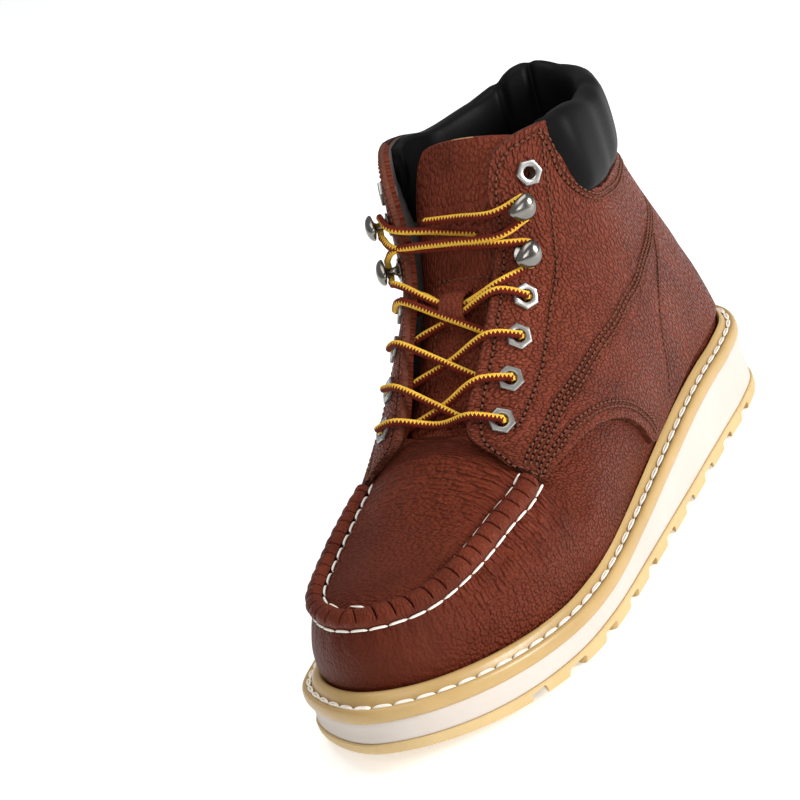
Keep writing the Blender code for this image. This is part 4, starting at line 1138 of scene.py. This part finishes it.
sewnRows = dict(
    triple=((6.2, 0.815), (7.16, 0.71), (7.58, 0.68), (8.11, 0.62), (8.79, 0.56), (9.61, 0.47), (10.44, 0.43),
            (11.38, 0.45), (12.31, 0.49), (13.2, 0.53)),
    behindEyelets=((7.1, 0.84), (7.24, 0.81), (7.84, 0.78), (8.37, 0.78), (8.85, 0.78), (9.43, 0.75),
                   (9.94, 0.76), (10.4, 0.83), (10.66, 0.92), (10.73, 0.97)),
    heelLine=((12.3, 0.47), (11.3, 0.36), (10.27, 0.26), (9.63, 0.14)),
    lowerEdge=((5.3, 0.93), (5.75, 0.8), (6.62, 0.69), (7.32, 0.6), (7.78, 0.51), (8.1, 0.43), (8.4, 0.33),
               (8.62, 0.22), (8.72, 0.14)),
    frontEdge=((5.2, 0.972), (5.9, 0.96), (6.5, 0.955), (7.0, 0.95), (7.5, 0.955), (8.2, 0.96), (9, 0.965),
               (9.6, 0.965), (10.2, 0.965), (10.6, 0.965), (10.77, 0.955), (10.79, 0.9), (10.73, 0.82),
               (10.87, 0.745), (11.16, 0.703), (11.6, 0.7), (12.2, 0.705), (13, 0.72), (14.9, 0.715)),
    backSeam=((14.86, 0.12), (14.86, 0.4), (14.86, 0.7)), spacing=2.1,
    doubleFrom=10,  # the front edge has a second row from this point on
)


def quarterLines(side, lift):
    rows = [wallLine(sewnRows["behindEyelets"], side, lift), wallLine(sewnRows["heelLine"], side, lift)]
    for shift in (-1, 0, 1):
        rows.append(wallLine(sewnRows["triple"], side, lift, shift=shift * sewnRows["spacing"]))
    for shift in (0, 1):
        rows.append(wallLine(sewnRows["lowerEdge"], side, lift, shift=-shift * sewnRows["spacing"]))
    rows.append(wallLine(sewnRows["backSeam"], side, lift))
    rows.append(wallLine(sewnRows["frontEdge"], side, lift))
    double = sewnRows["frontEdge"][sewnRows["doubleFrom"]:]
    rows.append(wallLine(double, side, lift, shift=sewnRows["spacing"]))
    return rows


quarterCreases = (  # lines of (section number, height) on the wall, depth, width
    (((7.6, 0.86), (7.9, 0.84), (8.2, 0.86)), 0.35, 2.5),
    (((8.9, 0.74), (9.4, 0.62), (9.9, 0.55)), 0.45, 5.0),
    (((9.2, 0.78), (9.9, 0.68), (10.5, 0.6)), 0.4, 5.0),
    (((10.2, 0.62), (11.0, 0.52), (11.9, 0.5)), 0.4, 6.0),
    (((11.4, 0.36), (12.4, 0.3), (13.4, 0.3)), 0.45, 6.0),
    (((8.4, 0.5), (9.1, 0.4), (9.8, 0.3)), 0.35, 5.0),
)


def makeQuarters():
    quarters, brown = {}, []
    for side, word in bootSides:
        rows = quarterLines(side, quarterTop)
        folds = [(wallLine(table, side, quarterTop)[0], depth, width)
                 for table, depth, width in quarterCreases]
        quarters[side] = leatherSheet("quarter" + word.title(), *quarterGrid(side), quarterTop,
                                      finish["quarter"], [line for line, out in rows], folds)
        brown += [(line - out * quarterShape["sunk"], out) for line, out in rows]
    return quarters, brown


quarters, brownLines = makeQuarters()
sew("quarterStitches", brownLines, quarterShape["row"], "brownThread", "leather")
print("quarters sewn")

# Toe seam: a gathered roll over the joint of wall and plug
rollShape = dict(reach=4.4, rise=3.5, end=4.93, power=3.2, crown=0.09, lean=0.4, puff=0.06, lift=0.12,
                 steps=15, sharp=70, gather=6.4, first=2.5, last=2, jitter=0.5, seed=7,
                 cut=1.8, cutWidth=0.2, cutFrom=0.68, cutOver=0.25, cutShade=0.95,  # cuts across the roll, with painted shade in them
                 near=(-0.9, -0.5, -0.32, -0.2, -0.09, 0, 0.09, 0.2, 0.32, 0.5, 0.9, 1.8, 3.2, 4.6),
                 foot=(0.85, 0.4, 0.0, -0.4, -0.85), footLift=0.03,
                 fanEnd=1.6, fanAhead=0.6, fanPlace=(0.06, 0.44), downTo=0.92, outAt=0.97,
                 besideVamp=(0.5, 0.35), besidePlug=(0.2, -0.9),  # stitches: beyond the roll, above it
                 row=dict(pitch=7.4, length=6.9, thread=1.02, hole=1.1, sides=8, rings=9))


def rollFrame(place):  # directions of the roll at a distance along the seam, minus on the medial side
    sideU = np.interp(abs(place), seamRun, seamU)
    u = onSide(sideU, 1 if place >= 0 else -1)
    joint = wall(u, 1.0)
    down = unit(wall(u, rollShape["downTo"]) - joint)
    fan = float(np.clip(1 - sideU / rollShape["fanEnd"], 0, 1))
    least, more = rollShape["fanPlace"]
    across = least + more * fan
    inward = unit(plug(sideU + rollShape["fanAhead"] * fan, across if place >= 0 else 1 - across) - joint)
    outward = wallNormal(u, rollShape["outAt"])
    upward = np.cross(inward, np.cross(outward, down))
    upward = unit(upward * np.sign(upward[2]))
    return joint, down, inward, outward, upward, unit(outward + upward)


def rollPoint(basis, a, height):  # a runs from the vamp (-1) over the joint (0) to the plug (1)
    joint, down, inward, outward, upward, crest = basis
    reach = rollShape["reach"]
    t = (a + 1) / 2
    base = (1 - t) ** 2 * (joint + down * reach) + 2 * t * (1 - t) * joint + t**2 * (joint + inward * reach)
    base = base + crest * rollShape["crown"] * (1 - a * a) * reach
    normal = unit(outward * (1 - t) + upward * t + crest * rollShape["lean"])
    return base + normal * height


def makeRoll():
    random = np.random.default_rng(rollShape["seed"])
    total = np.interp(rollShape["end"], seamU, seamRun)
    cuts = np.arange(rollShape["first"] - total, total - rollShape["last"], rollShape["gather"])
    cuts = cuts + random.uniform(-rollShape["jitter"], rollShape["jitter"], len(cuts))
    near = np.array(rollShape["near"])
    places = np.concatenate([cut + near for cut in cuts] + [[-total, total]])
    profiles, dark = [], []
    for place in np.unique(np.round(np.clip(places, -total, total), 3)):
        basis = rollFrame(place)
        away = np.abs(cuts - place).min()
        notch = math.exp(-(away / rollShape["cutWidth"]) ** 2)
        puff = 1 - rollShape["puff"] * math.cos(2 * math.pi * away / rollShape["gather"])
        profile, shade = [], []
        for a in np.linspace(-1, 1, rollShape["steps"]):
            share = np.clip((a + rollShape["cutFrom"]) / rollShape["cutOver"], 0, 1)
            height = rollShape["rise"] * puff * max(0.0, 1 - abs(a) ** rollShape["power"]) ** 0.5
            height -= notch * rollShape["cut"] * share
            profile.append(rollPoint(basis, a, max(rollShape["lift"], height)))
            # painted shade in the cuts, kept as the crease attribute
            shade.append(rollShape["cutShade"] * notch * share)
        for a in rollShape["foot"]:
            profile.append(rollPoint(basis, a, rollShape["footLift"]))
            shade.append(0)
        profiles.append(profile)
        dark.append(shade)
    roll = swept("mocRoll", profiles, finish["roll"], False, rollShape["sharp"], crease=np.array(dark))
    settle(roll, "leather", "moc_seam")
    frames = np.array([rollFrame(place) for place in np.arange(-total, total, 1.0)])
    joint, down, inward, outward, upward, crest = np.moveaxis(frames, 1, 0)
    lines = []
    for way, out, (beyond, above) in ((down, outward, rollShape["besideVamp"]),
                                      (inward, upward, rollShape["besidePlug"])):
        lines.append((joint + way * (rollShape["reach"] + beyond) + out * above, out))
    sew("mocStitches", lines, rollShape["row"], "whiteThread", "leather")


makeRoll()
print("toe seam gathered")

# Collar: padded cuff over the top of the wall, its points as height on the wall, distance out and rise
collarShape = dict(
    front=10.72, lowFrom=11.35, columns=14, fill=0.8, sharp=75,
    outer=((0.0, 0.5, 0.0), (0.0, 2.2, 0.3), (0.08, 4.2, 0), (0.25, 5.6, 0), (0.5, 6.3, 0), (0.75, 6.2, 0.4),
           (0.95, 5.2, 2.0), (1.0, 3.2, 4.2), (1.0, 0.5, 5.3)),
    inner=((1.0, -2.2, 5.1), (1.0, -4.8, 3.6), (1.0, -6.3, 1.2), (0.75, -6.6, 0), (0.45, -6.0, 0),
           (0.2, -4.8, 0), (0.02, -3.4, 0), (-0.05, -2.4, 0)),
    back=((0.0, -2.3, 0), (0.5, -2.3, 0), (1.0, -2.3, 0), (1.0, -1.0, 0.6), (1.0, 0.25, 0), (0.5, 0.25, 0)),
    height=((10.9, 0.2), (11.5, 0.75), (12.4, 1.0), (14.6, 1.25), (15.1, 1.75), (15.5, 2.0), (15.9, 1.75),
            (16.3, 1.1), (17, 0.4), (18, 0.2), (18.6, 0.05), (19.1, -0.3)),
    folds=((15.45, 3.0, 0.12), (16.3, 2.6, 0.1), (18.2, 0.8, 0.2), (12.7, 1.2, 0.2)),  # place, depth, width
    foldFrom=-0.1, foldOver=0.5, foldSink=0.4, crest=3, thin=0.6,
    begin=0.4, least=0.12, waves=((0.04, 5.1, 0), (0.03, 9.7, 1)),
)


def makeCollar():
    front, least = collarShape["front"], collarShape["least"]
    columns = int((roundTrip - 2 * front) * collarShape["columns"])
    profiles = []
    for here in np.linspace(front, roundTrip - front, columns):
        side = float(sideOf(here))
        low = float(np.interp(max(side, collarShape["lowFrom"]), *zip(*quarterShape["upper"])))
        begin = np.clip((side - front) / collarShape["begin"], 0, 1)
        full = least + (1 - least) * math.sin(begin * math.pi / 2)
        crease = sum(depth * math.exp(-((here - at) / width) ** 2)
                     for at, depth, width in collarShape["folds"])
        level = float(np.interp(here, *zip(*collarShape["height"])))
        puff = 1 + sum(size * math.sin(here * rate + shift) for size, rate, shift in collarShape["waves"])
        profile = []
        for place, out, rise in collarShape["outer"] + collarShape["inner"]:
            away = out * (full if out > collarShape["thin"] else 1) * puff
            if out < 0:
                share = (place - collarShape["foldFrom"]) / collarShape["foldOver"]
                away = out + crease * np.clip(share, 0, 1)
            point = offWall(here, low + (1 - low) * place, away)
            point[2] += rise * level - crease * collarShape["foldSink"] * (rise > collarShape["crest"])
            profile.append(point)
        for place, out, rise in collarShape["back"]:
            point = offWall(here, low + (1 - low) * place, out)
            point[2] += rise
            profile.append(point)
        profiles.append(np.array(profile))
    collar = swept("collarPad", profiles, finish["collar"], False, collarShape["sharp"])
    soft = collar.modifiers.new("soft", "SUBSURF")
    soft.levels = soft.render_levels = 1
    bakeModifiers(collar)
    smoothShade(collar)
    settle(collar, "collar", "collar")


makeCollar()
print("collar padded")

tongueFine, tongueRun = tongueRuns(tongueShape["fine"])


def tongueOut(i):
    outward = np.array([-tongueRun[i][1], 0, tongueRun[i][0]])
    return outward * np.sign(outward[2])


def overTongue(near, place, lift):  # point above the tongue, level with another point
    rows = np.array([tonguePoint(r, d, place) for r, d in zip(tongueFine, tongueRun)])
    i = int(np.argmin(np.linalg.norm(rows[:, (0, 2)] - np.asarray(near)[[0, 2]], axis=1)))
    return rows[i] + tongueOut(i) * lift


def makeTongue():
    shape = tongueShape
    rows, run = tongueRuns(shape["steps"])
    cutRow = (1 - shape["cutRow"]) * rows[-2] + shape["cutRow"] * rows[-1]  # narrow last row for the cut edge
    rows = np.insert(rows, -1, cutRow, axis=0)
    run = np.insert(run, -1, run[-1], axis=0)
    reach = fromStart(rows[:, :2])
    left = reach[-1] - reach
    short = shape["corner"] * roundOff(left, shape["corner"])  # rounded top corners
    scale = (rows[:, 2] - short) / rows[:, 2]
    across = np.linspace(-1, 1, shape["across"] + 1)
    grid = np.array([[tonguePoint(row, way, w * size) for w in across]
                     for row, way, size in zip(rows, run, scale)])
    normal = unit(np.cross(np.gradient(grid, axis=1), np.gradient(grid, axis=0)))
    normal *= np.sign(normal[..., 2:3].mean())
    away = edgeDistance(grid)
    along, out = grid[..., 0], np.abs(grid[..., 1])
    soft = shape["panelSoft"]
    panel = fadeIn(along, shape["panelTop"], soft) * fadeOut(along, shape["panelFoot"], shape["footSoft"])
    panel = shape["panelRise"] * panel * fadeOut(out, shape["panelHalf"], soft)
    lift = panel - shape["roundFall"] * roundOff(away, shape["roundEdge"])
    border = 1 - np.clip(away / shape["roundEdge"], 0, 1)
    outer = grid + normal * lift[..., None]
    inner = grid - normal * (shape["thick"] - shape["thinFall"] * border)[..., None]
    points = np.concatenate([outer.reshape(-1, 3), inner.reshape(-1, 3)])
    r, c = grid.shape[:2]
    tongue = makeMesh("tongueLeather", points, sheetFaces(r, c), finish["tongue"], finish["rawTan"])
    firstRim = 2 * (r - 1) * (c - 1)
    for i, polygon in enumerate(tongue.data.polygons):
        spots = list(polygon.vertices)
        nearTop = i < firstRim / 2 and min(left[v // c] for v in spots) < shape["tanTop"]
        if i >= firstRim or nearTop and max(away.ravel()[spots]) < shape["tanEdge"]:
            polygon.material_index = 1
    closeMesh(tongue, shape["sharp"])
    settle(tongue, "tongue", "tongue")
    inside = shape["panelHalf"] - shape["rowIn"]
    first, last = [int(np.argmin(np.abs(tongueFine[:, 0] - place)))
                   for place in (shape["panelTop"] + shape["rowTop"], shape["panelFoot"] - shape["rowFoot"])]
    places = [[(first, out) for out in np.linspace(-inside, inside, shape["rowSteps"])]]
    places += [[(i, out) for i in range(last, first + 1)] for out in (-inside, inside)]
    lines = []
    for row in places:
        outward = np.array([tongueOut(i) for i, out in row])
        line = np.array([tonguePoint(tongueFine[i], tongueRun[i], out / tongueFine[i][2]) for i, out in row])
        lines.append((line + outward * (shape["panelRise"] - shape["rowSunk"]), outward))
    sew("tongueStitches", lines, shape["row"], "brownThread", "tongue")


makeTongue()
print("tongue made")

# Eyelets and hooks
eyelet = dict(first=7.17, step=0.51, height=0.88, flat=9.2, gap=0.1, rise=1.5, bore=2.3, count=7,
              hooks=(4, 5), facing=(0.82, 0.94), barrel=5.2, wall=0.35, foot=0.985, corners=6,
              steps=48, sharp=35, punch=2.75, punchSpan=(4.0, -9.0), punchSides=16)
hookShape = dict(stem=((0.01, 0), (4.5, 0), (4.75, 0.35), (4.5, 0.85), (3.2, 1.1), (2.0, 1.5), (1.6, 2.4),
                       (1.6, 4.8), (2.1, 5.5), (4.2, 6.0), (5.0, 6.25)),  # radius, height
                 domeRadius=5.25, domeFrom=6.6, domeHigh=2.9, domeTo=1.45, domeSteps=9, tip=(0.01, 9.5),
                 capFrom=5.5, bite=0.34, biteLeast=0.74, biteMost=1.1, back=0.14, backOver=0.4,
                 steps=32, sharp=50)


def eyeletU(side, number):
    return onSide(eyelet["first"] + eyelet["step"] * number, side)


def eyeletFrame(side, number, rise):
    u = eyeletU(side, number)
    outward = wallNormal(u, eyelet["height"])
    return wall(u, eyelet["height"]) + outward * (quarterTop + rise), outward


def fittingFrame(side, number):  # place, outward direction and the way to the throat
    point, outward = eyeletFrame(side, number, eyelet["gap"])
    low, high = [wall(eyeletU(side, number), v) for v in eyelet["facing"]]
    ahead = high - low
    return point, outward, unit(ahead - outward * (ahead @ outward))


def fittings(hooked):  # side, its name and the number of every hook or every eyelet
    return [(side, word, n) for side, word in bootSides for n in range(eyelet["count"])
            if (n in eyelet["hooks"]) == hooked]


def turned(profile, steps, sides=1):  # revolve (radius, height, share of a prism with so many sides)
    points = []
    for radius, height, hexed in profile:
        for turn in turns(steps):
            size = radius
            if hexed:
                part = math.pi / sides
                size = radius * math.cos(part) / math.cos((turn % (2 * part)) - part)
                size = radius * (1 - hexed) + size * hexed
            points.append((size * math.cos(turn), size * math.sin(turn), height))
    return np.array(points) / 1000, gridFaces(len(profile), steps, closed=True)


def setOnFrames(name, shape, places, material):  # the shape at every place, set by a small node tree
    points, outs, aheads = [np.array(column) for column in zip(*places)]
    obj = newObject(name, toWorld(points))
    for label, ways in (("out", outs), ("ahead", aheads)):
        setAttribute(obj, label, "FLOAT_VECTOR", ways * worldSigns)
    inputs = (("Places", "Geometry"), ("Shape", "Object"), ("Finish", "Material"))
    tree, given, result = nodeTree(name + "Set", inputs, "Fittings")
    ahead = vectorAttribute(tree, "ahead")
    wire(tree, setShapes(tree, given["Places"], ahead, given["Shape"], given["Finish"]), result)
    applyTree(obj, tree, {"Shape": shape, "Finish": material})
    drop(shape)
    return obj


def eyeletForm():
    corner = eyelet["flat"] / math.sqrt(3)
    bore, rise, deep = eyelet["bore"], eyelet["rise"], -eyelet["barrel"]
    foot = (corner * eyelet["foot"], 0, 1)
    outside = bore + eyelet["wall"]
    profile = (foot, (corner, 0.25, 1), (corner, rise - 0.45, 1), (corner * 0.93, rise - 0.05, 1),
               (corner * 0.86, rise, 0.9), (bore + 1.1, rise, 0), (bore + 0.45, rise - 0.12, 0),
               (bore + 0.08, rise - 0.5, 0), (bore, rise - 1.1, 0), (bore, deep, 0), (outside, deep, 0),
               (outside, 0, 0), foot)
    points, faces = turned(profile, eyelet["steps"], eyelet["corners"])
    return closeMesh(newObject("eyeletShape", points, faces=faces), eyelet["sharp"])


def hookForm():  # stem and cap, the cap cut back on the side of the throat
    shape, steps = hookShape, hookShape["steps"]
    dome = [(shape["domeRadius"] * math.cos(a), shape["domeFrom"] + shape["domeHigh"] * math.sin(a))
            for a in np.linspace(0.0, shape["domeTo"], shape["domeSteps"])]
    profile = [(radius, height, 0) for radius, height in list(shape["stem"]) + dome + [shape["tip"]]]
    points, faces = turned(profile, steps)
    turn = np.abs(np.arctan2(points[:, 1], points[:, 0])) / math.pi  # 0 on the side of the throat
    least, most, end = shape["biteLeast"], shape["biteMost"], shape["bite"]
    back = most - shape["back"] * fadeIn(turn, end, shape["backOver"])
    bite = np.where(turn < end, least + (most - least) * (turn / end) ** 2, back)
    cap = points[:, 2] > shape["capFrom"] / 1000
    points[cap, :2] *= bite[cap, None]
    faces += [tuple(range(steps)), tuple(range((len(profile) - 1) * steps, len(profile) * steps))]
    return closeMesh(newObject("hookShape", points, faces=faces), shape["sharp"])


def makeFittings():
    for hooked, name, form, metal, node in ((False, "hexEyelets", eyeletForm(), "nickel", "eyelet"),
                                            (True, "laceHooks", hookForm(), "hook", "hook")):
        spots = [fittingFrame(side, n) for side, word, n in fittings(hooked)]
        pieces = setOnFrames(name, form, spots, finish[metal])
        settle(pieces, metal, *[f"{node}_{word}_{n + 1}" for side, word, n in fittings(hooked)])


def punchHoles():  # lace holes through quarters and upper
    sides = eyelet["punchSides"]
    for side in (1, -1):
        points, faces = [], []
        for n in [number for way, word, number in fittings(False) if way == side]:
            middle, outward = eyeletFrame(side, n, 0)
            first = unit(np.cross(outward, (0, 0, 1.0)))
            second = np.cross(outward, first)
            start = len(points)
            for depth in eyelet["punchSpan"]:
                points += [middle + outward * depth
                           + (first * math.cos(turn) + second * math.sin(turn)) * eyelet["punch"]
                           for turn in turns(sides)]
            faces += gridFaces(2, sides, start, closed=True)
            faces += [tuple(range(start, start + sides)), tuple(range(start + sides, start + 2 * sides))]
        punch = closeMesh(makeMesh("punch", np.array(points), faces))
        for sheet in (quarters[side], upper):
            cutWith(sheet, punch)
        drop(punch)


punchHoles()
settle(upper, "leather", "upper")
for side, word in bootSides:
    settle(quarters[side], "leather", "quarter_" + word)
makeFittings()
print("eyelets and hooks set")

# Lace keeper: place along the tongue and height of the strap's middle line, and its section
keeper = dict(arch=((-8.0, 0.7), (-6.4, 1.0), (-5.6, 3.4), (-3.8, 5.8), (0, 6.8), (3.8, 5.8), (5.6, 3.4),
                    (6.4, 1.0), (8.0, 0.7)),
              section=((-0.5, -0.3), (-0.47, -0.5), (0.47, -0.5), (0.5, -0.3), (0.5, 0.25), (0.46, 0.5),
                       (0.2, 0.56), (-0.2, 0.56), (-0.46, 0.5), (-0.5, 0.25)),
              width=10.6, thick=1.4, steps=49, level=(156.0, 0.0, 112.0))


def makeKeeper():
    level = np.array(keeper["level"])
    foot = overTongue(level, 0, 0)
    outward = unit(overTongue(level, 0, 1.0) - foot)
    upward = np.cross(outward, (0, 1, 0))
    upward = upward * np.sign(upward[2])
    arch = smoothRows(keeper["arch"], keeper["steps"])
    run = unit(np.gradient(arch, axis=0))
    normal = np.stack([-run[:, 1], run[:, 0]], -1)
    profiles = []
    for (along, up), (na, nu) in zip(arch, normal):
        profile = []
        for across, rise in keeper["section"]:
            a, h = along + na * rise * keeper["thick"], up + nu * rise * keeper["thick"]
            profile.append(foot + upward * a + outward * h + np.array([0, across * keeper["width"], 0]))
        profiles.append(profile)
    settle(swept("keeperStrap", profiles, finish["tongue"], False), "tongue", "lace_keeper")


makeKeeper()

# Lace routes, after those of the part: points in boot millimetres
hookNeck = dict(radius=1.6, base=0.6, plate=1.0, lace=1.7, gapsBeside=5, gapsAbove=2, flapLift=1.35)
overEyelet = eyelet["gap"] + eyelet["rise"] + 0.5 * lace["thick"]
overFlap = quarterTop + hookNeck["flapLift"]
neckSide = hookNeck["radius"] + hookNeck["lace"] + hookNeck["gapsBeside"] * boot["gap"]
neckRise = hookNeck["base"] + hookNeck["plate"] + hookNeck["lace"] + hookNeck["gapsAbove"] * boot["gap"]
laceRoute = dict(endShift={1: -0.55, -1: -0.6}, crossShift=-0.2, hookShift={1: -1.05, -1: -0.85},
                 nearShift={1: -1.0, -1: -1.0}, farShift={1: 0.0, -1: -0.15}, crossBow=1.3, hookBow=1.4,
                 keeperLift=3.4, edgeAt=(0.99, 0.97), underAt=(0.985, 0.96), underDrop=3.6,
                 below=(-6.6, -3.0), bore=(-5.5, -1.5, 1.6), hookIn=0.9, hookTurns=(50, 90, 130),
                 lateralTip=(138.9, -14.0, 143.4), medialTip=(138.7, 8.0, 135.9), turned=((-1, 3), (1, 5)),
                 topHook=5, fine=30)


def overEdge(side, number, lift, shift=0.0):
    u = eyeletU(side, number + shift)
    edge, facing = laceRoute["edgeAt"]
    return wall(u, edge) + wallNormal(u, facing) * lift


def throughEyelet(side, number):  # from inside the boot up through the bore
    point, outward = eyeletFrame(side, number, 0)
    return [point + outward * rise for rise in laceRoute["bore"]]


def atEyelet(side, number):
    return eyeletFrame(side, number, overEyelet)[0]


def hookWay(side, number, way):
    here, outward = eyeletFrame(side, number, neckRise)
    following = eyeletFrame(side, number + way, neckRise)[0]
    return here, unit(following - here), outward


def atHook(side, number, way):
    here, run, outward = hookWay(side, number, way)
    return here + run * neckSide


def roundHook(side, number):  # top of the hook, round its outer side, to below it
    here, run, outward = hookWay(side, number, 1)
    out = unit(np.cross(outward, run))
    if out[1] * side < 0:
        out = -out
    size = neckSide - laceRoute["hookIn"]
    return [here + (run * math.cos(a) + out * math.sin(a)) * size for a in np.radians(laceRoute["hookTurns"])]


def underFlap(side, number):  # from the tongue below a flap to an eyelet's inside
    point, outward = eyeletFrame(side, number, 0)
    u = eyeletU(side, number)
    edge, facing = laceRoute["underAt"]
    start = wall(u, edge) - wallNormal(u, facing) * laceRoute["underDrop"]
    return [start] + [point + outward * rise for rise in laceRoute["below"]]


def bowed(first, second, bow):  # middle of a crossing, moved off the tongue beside its first point
    away = unit(overTongue(first, 0, 1.0) - overTongue(first, 0, 0))
    return (first + second) / 2 + away * bow


def crossingRoute(side, number):
    under = underFlap(-side, number - 1)
    if number in eyelet["hooks"]:  # through the keeper
        edge = overEdge(side, number, overFlap, laceRoute["hookShift"][side])
        lift = laceRoute["keeperLift"] - laceRoute["crossBow"] * side
        middle = overTongue(np.array(keeper["level"]), 0, lift)
        return [atHook(side, number, -1), edge, middle] + under
    edge = overEdge(side, number, overFlap, laceRoute["crossShift"])
    middle = bowed(edge, under[0], laceRoute["crossBow"] * -side)
    return throughEyelet(side, number) + [atEyelet(side, number), edge, middle] + under


def hookRoute(side, number):
    near = overEdge(side, number, overFlap, laceRoute["nearShift"][side])
    far = overEdge(-side, number - 1, overFlap, laceRoute["farShift"][side])
    middle = bowed(near, far, laceRoute["hookBow"] * side)
    route = roundHook(side, number) + [atHook(side, number, -1), near, middle, far]
    route.append(atHook(-side, number - 1, 1))
    return route + roundHook(-side, number - 1) + [atHook(-side, number - 1, -1)]


def barRoute():
    edges = [overEdge(1, 0, overFlap), overEdge(-1, 0, overFlap)]
    middle = overTongue((edges[0] + edges[1]) / 2, 0, overFlap)
    ends = throughEyelet(-1, 0)
    return throughEyelet(1, 0) + [atEyelet(1, 0), edges[0], middle, edges[1], atEyelet(-1, 0)] + ends[::-1]


def endRoute(side, number, tip):
    start = atHook(side, number, 1)
    edge = overEdge(side, number, overFlap, laceRoute["endShift"][side])
    return [start, edge, (edge + np.array(tip)) / 2, np.array(tip)]


def laceMesh(name, routes, flip):  # oval cord along each route, gold on one half and red on the other
    points, faces, uvs, paths = [], [], [], []
    sides, least = lace["sides"], lace["tip"]
    for route, turn in zip(routes, flip):
        line = evenSteps(smoothRows(route, laceRoute["fine"] * len(route)), lace["step"])
        paths.append(line)
        ahead = unit(np.gradient(line, axis=0))
        up = np.tile(lace["faceUp"], (len(line), 1))
        up[:, 1] += lace["faceTurn"] * line[:, 1]
        up = unit(up)
        hold = up[0]
        first = len(points)
        for k, (point, way, lean) in enumerate(zip(line, ahead, up)):
            lean = lean - way * (lean @ way)
            if np.linalg.norm(lean) < lace["leastLean"]:
                lean = hold - way * (hold @ way)
            lean = unit(lean)
            hold = lean
            across = np.cross(way, lean) * turn
            tip = min(1.0, least + (1 - least) * min(k, len(line) - 1 - k) / lace["tipSteps"])
            for s, angle in enumerate(turns(sides)):
                wide = across * math.sin(angle) * lace["width"] / 2
                points.append(point + (wide + lean * math.cos(angle) * lace["thick"] / 2) * tip)
                uvs.append((k * lace["step"] / lace["pitch"], s / sides))
        last = first + (len(line) - 1) * sides
        faces += gridFaces(len(line), sides, first, closed=True)
        faces += [tuple(range(first, first + sides)), tuple(range(last, last + sides))]
    obj = makeMesh(name, np.array(points), faces, finish["lace"])
    layer = obj.data.uv_layers.new(name="laceUV")
    for polygon in obj.data.polygons:
        wrap = max(uvs[v][1] for v in polygon.vertices) > 0.9  # faces that close the turn
        for loop in polygon.loop_indices:
            a, b = uvs[obj.data.loops[loop].vertex_index]
            layer.data[loop].uv = (a, b + 1 if wrap and b < 0.1 else b)
    closeMesh(obj)
    return obj, paths


def makeLace():
    top = laceRoute["topHook"]
    routes, flip = [barRoute()], [1]
    for number in range(1, top + 1):
        for side, word in bootSides:
            routes.append(hookRoute(side, number) if number == top else crossingRoute(side, number))
            flip.append(-side if (side, number) in laceRoute["turned"] else side)
    crossings, paths = laceMesh("laceCrossings", routes, flip)
    settle(crossings, "lace", "lace_bar", *[f"lace_cross_{n}" for n in range(1, top + 1)])
    for side, word in bootSides:
        end, paths = laceMesh("laceEnd" + word.title(), [endRoute(side, top, laceRoute[word + "Tip"])], [1])
        settle(end, "lace", "lace_end_" + word)


makeLace()
print("lace run through the eyelets")

# Floor and soft studio light: lights have a place, a size and a power
studio = dict(floor=(0.93, 0.925, 0.915), floorShade=0.985, floorScale=4.0, floorRough=0.7, floorSize=3.0,
              floorGlow=0.42, glow=(0.92, 0.96, 1.0), world=(1.0, 0.985, 0.965), worldStrength=0.34,
              key=((0.25, -1.6, 0.6), 0.55, 25.0), fill=((-1.25, -0.75, 1.0), 0.7, 6.0),
              top=((0.1, 0.1, 1.9), 1.4, 17.0), aim=(0, 0, 0.08))


def makeFloor():
    size = studio["floorSize"]
    corners = [(-size, -size, 0), (size, -size, 0), (size, size, 0), (-size, size, 0)]
    floor = newObject("studioFloor", corners, faces=[(0, 1, 2, 3)])
    material, tree, shader = newMaterial("paleFloor")
    tone = noise(tree, objectCoords(tree), studio["floorScale"])
    pale = studio["floor"]
    shade = tuple(studio["floorShade"] * c for c in pale)
    wire(tree, ramp(tree, tone, *zip(plainLook["stops"], (shade, pale))), shader.inputs["Base Color"])
    shader.inputs["Roughness"].default_value = studio["floorRough"]
    shader.inputs["Emission Color"].default_value = (*studio["glow"], 1)
    shader.inputs["Emission Strength"].default_value = studio["floorGlow"]
    floor.data.materials.append(material)


def makeLight():
    world = scene.world or bpy.data.worlds.new("studio")
    scene.world = world
    world.use_nodes = True
    sky = world.node_tree.nodes["Background"]
    sky.inputs["Color"].default_value = (*studio["world"], 1)
    sky.inputs["Strength"].default_value = studio["worldStrength"]
    for name in ("key", "fill", "top"):
        place, wide, power = studio[name]
        data = bpy.data.lights.new(name + "Light", "AREA")
        data.size = wide
        data.energy = power
        lamp = bpy.data.objects.new(name + "Light", data)
        scene.collection.objects.link(lamp)
        lamp.location = place
        aim = Vector(studio["aim"]) - Vector(place)
        lamp.rotation_euler = aim.to_track_quat("-Z", "Y").to_euler()


makeFloor()
makeLight()
scene.view_settings.view_transform = "Standard"
bpy.context.view_layer.update()
print("scene done")
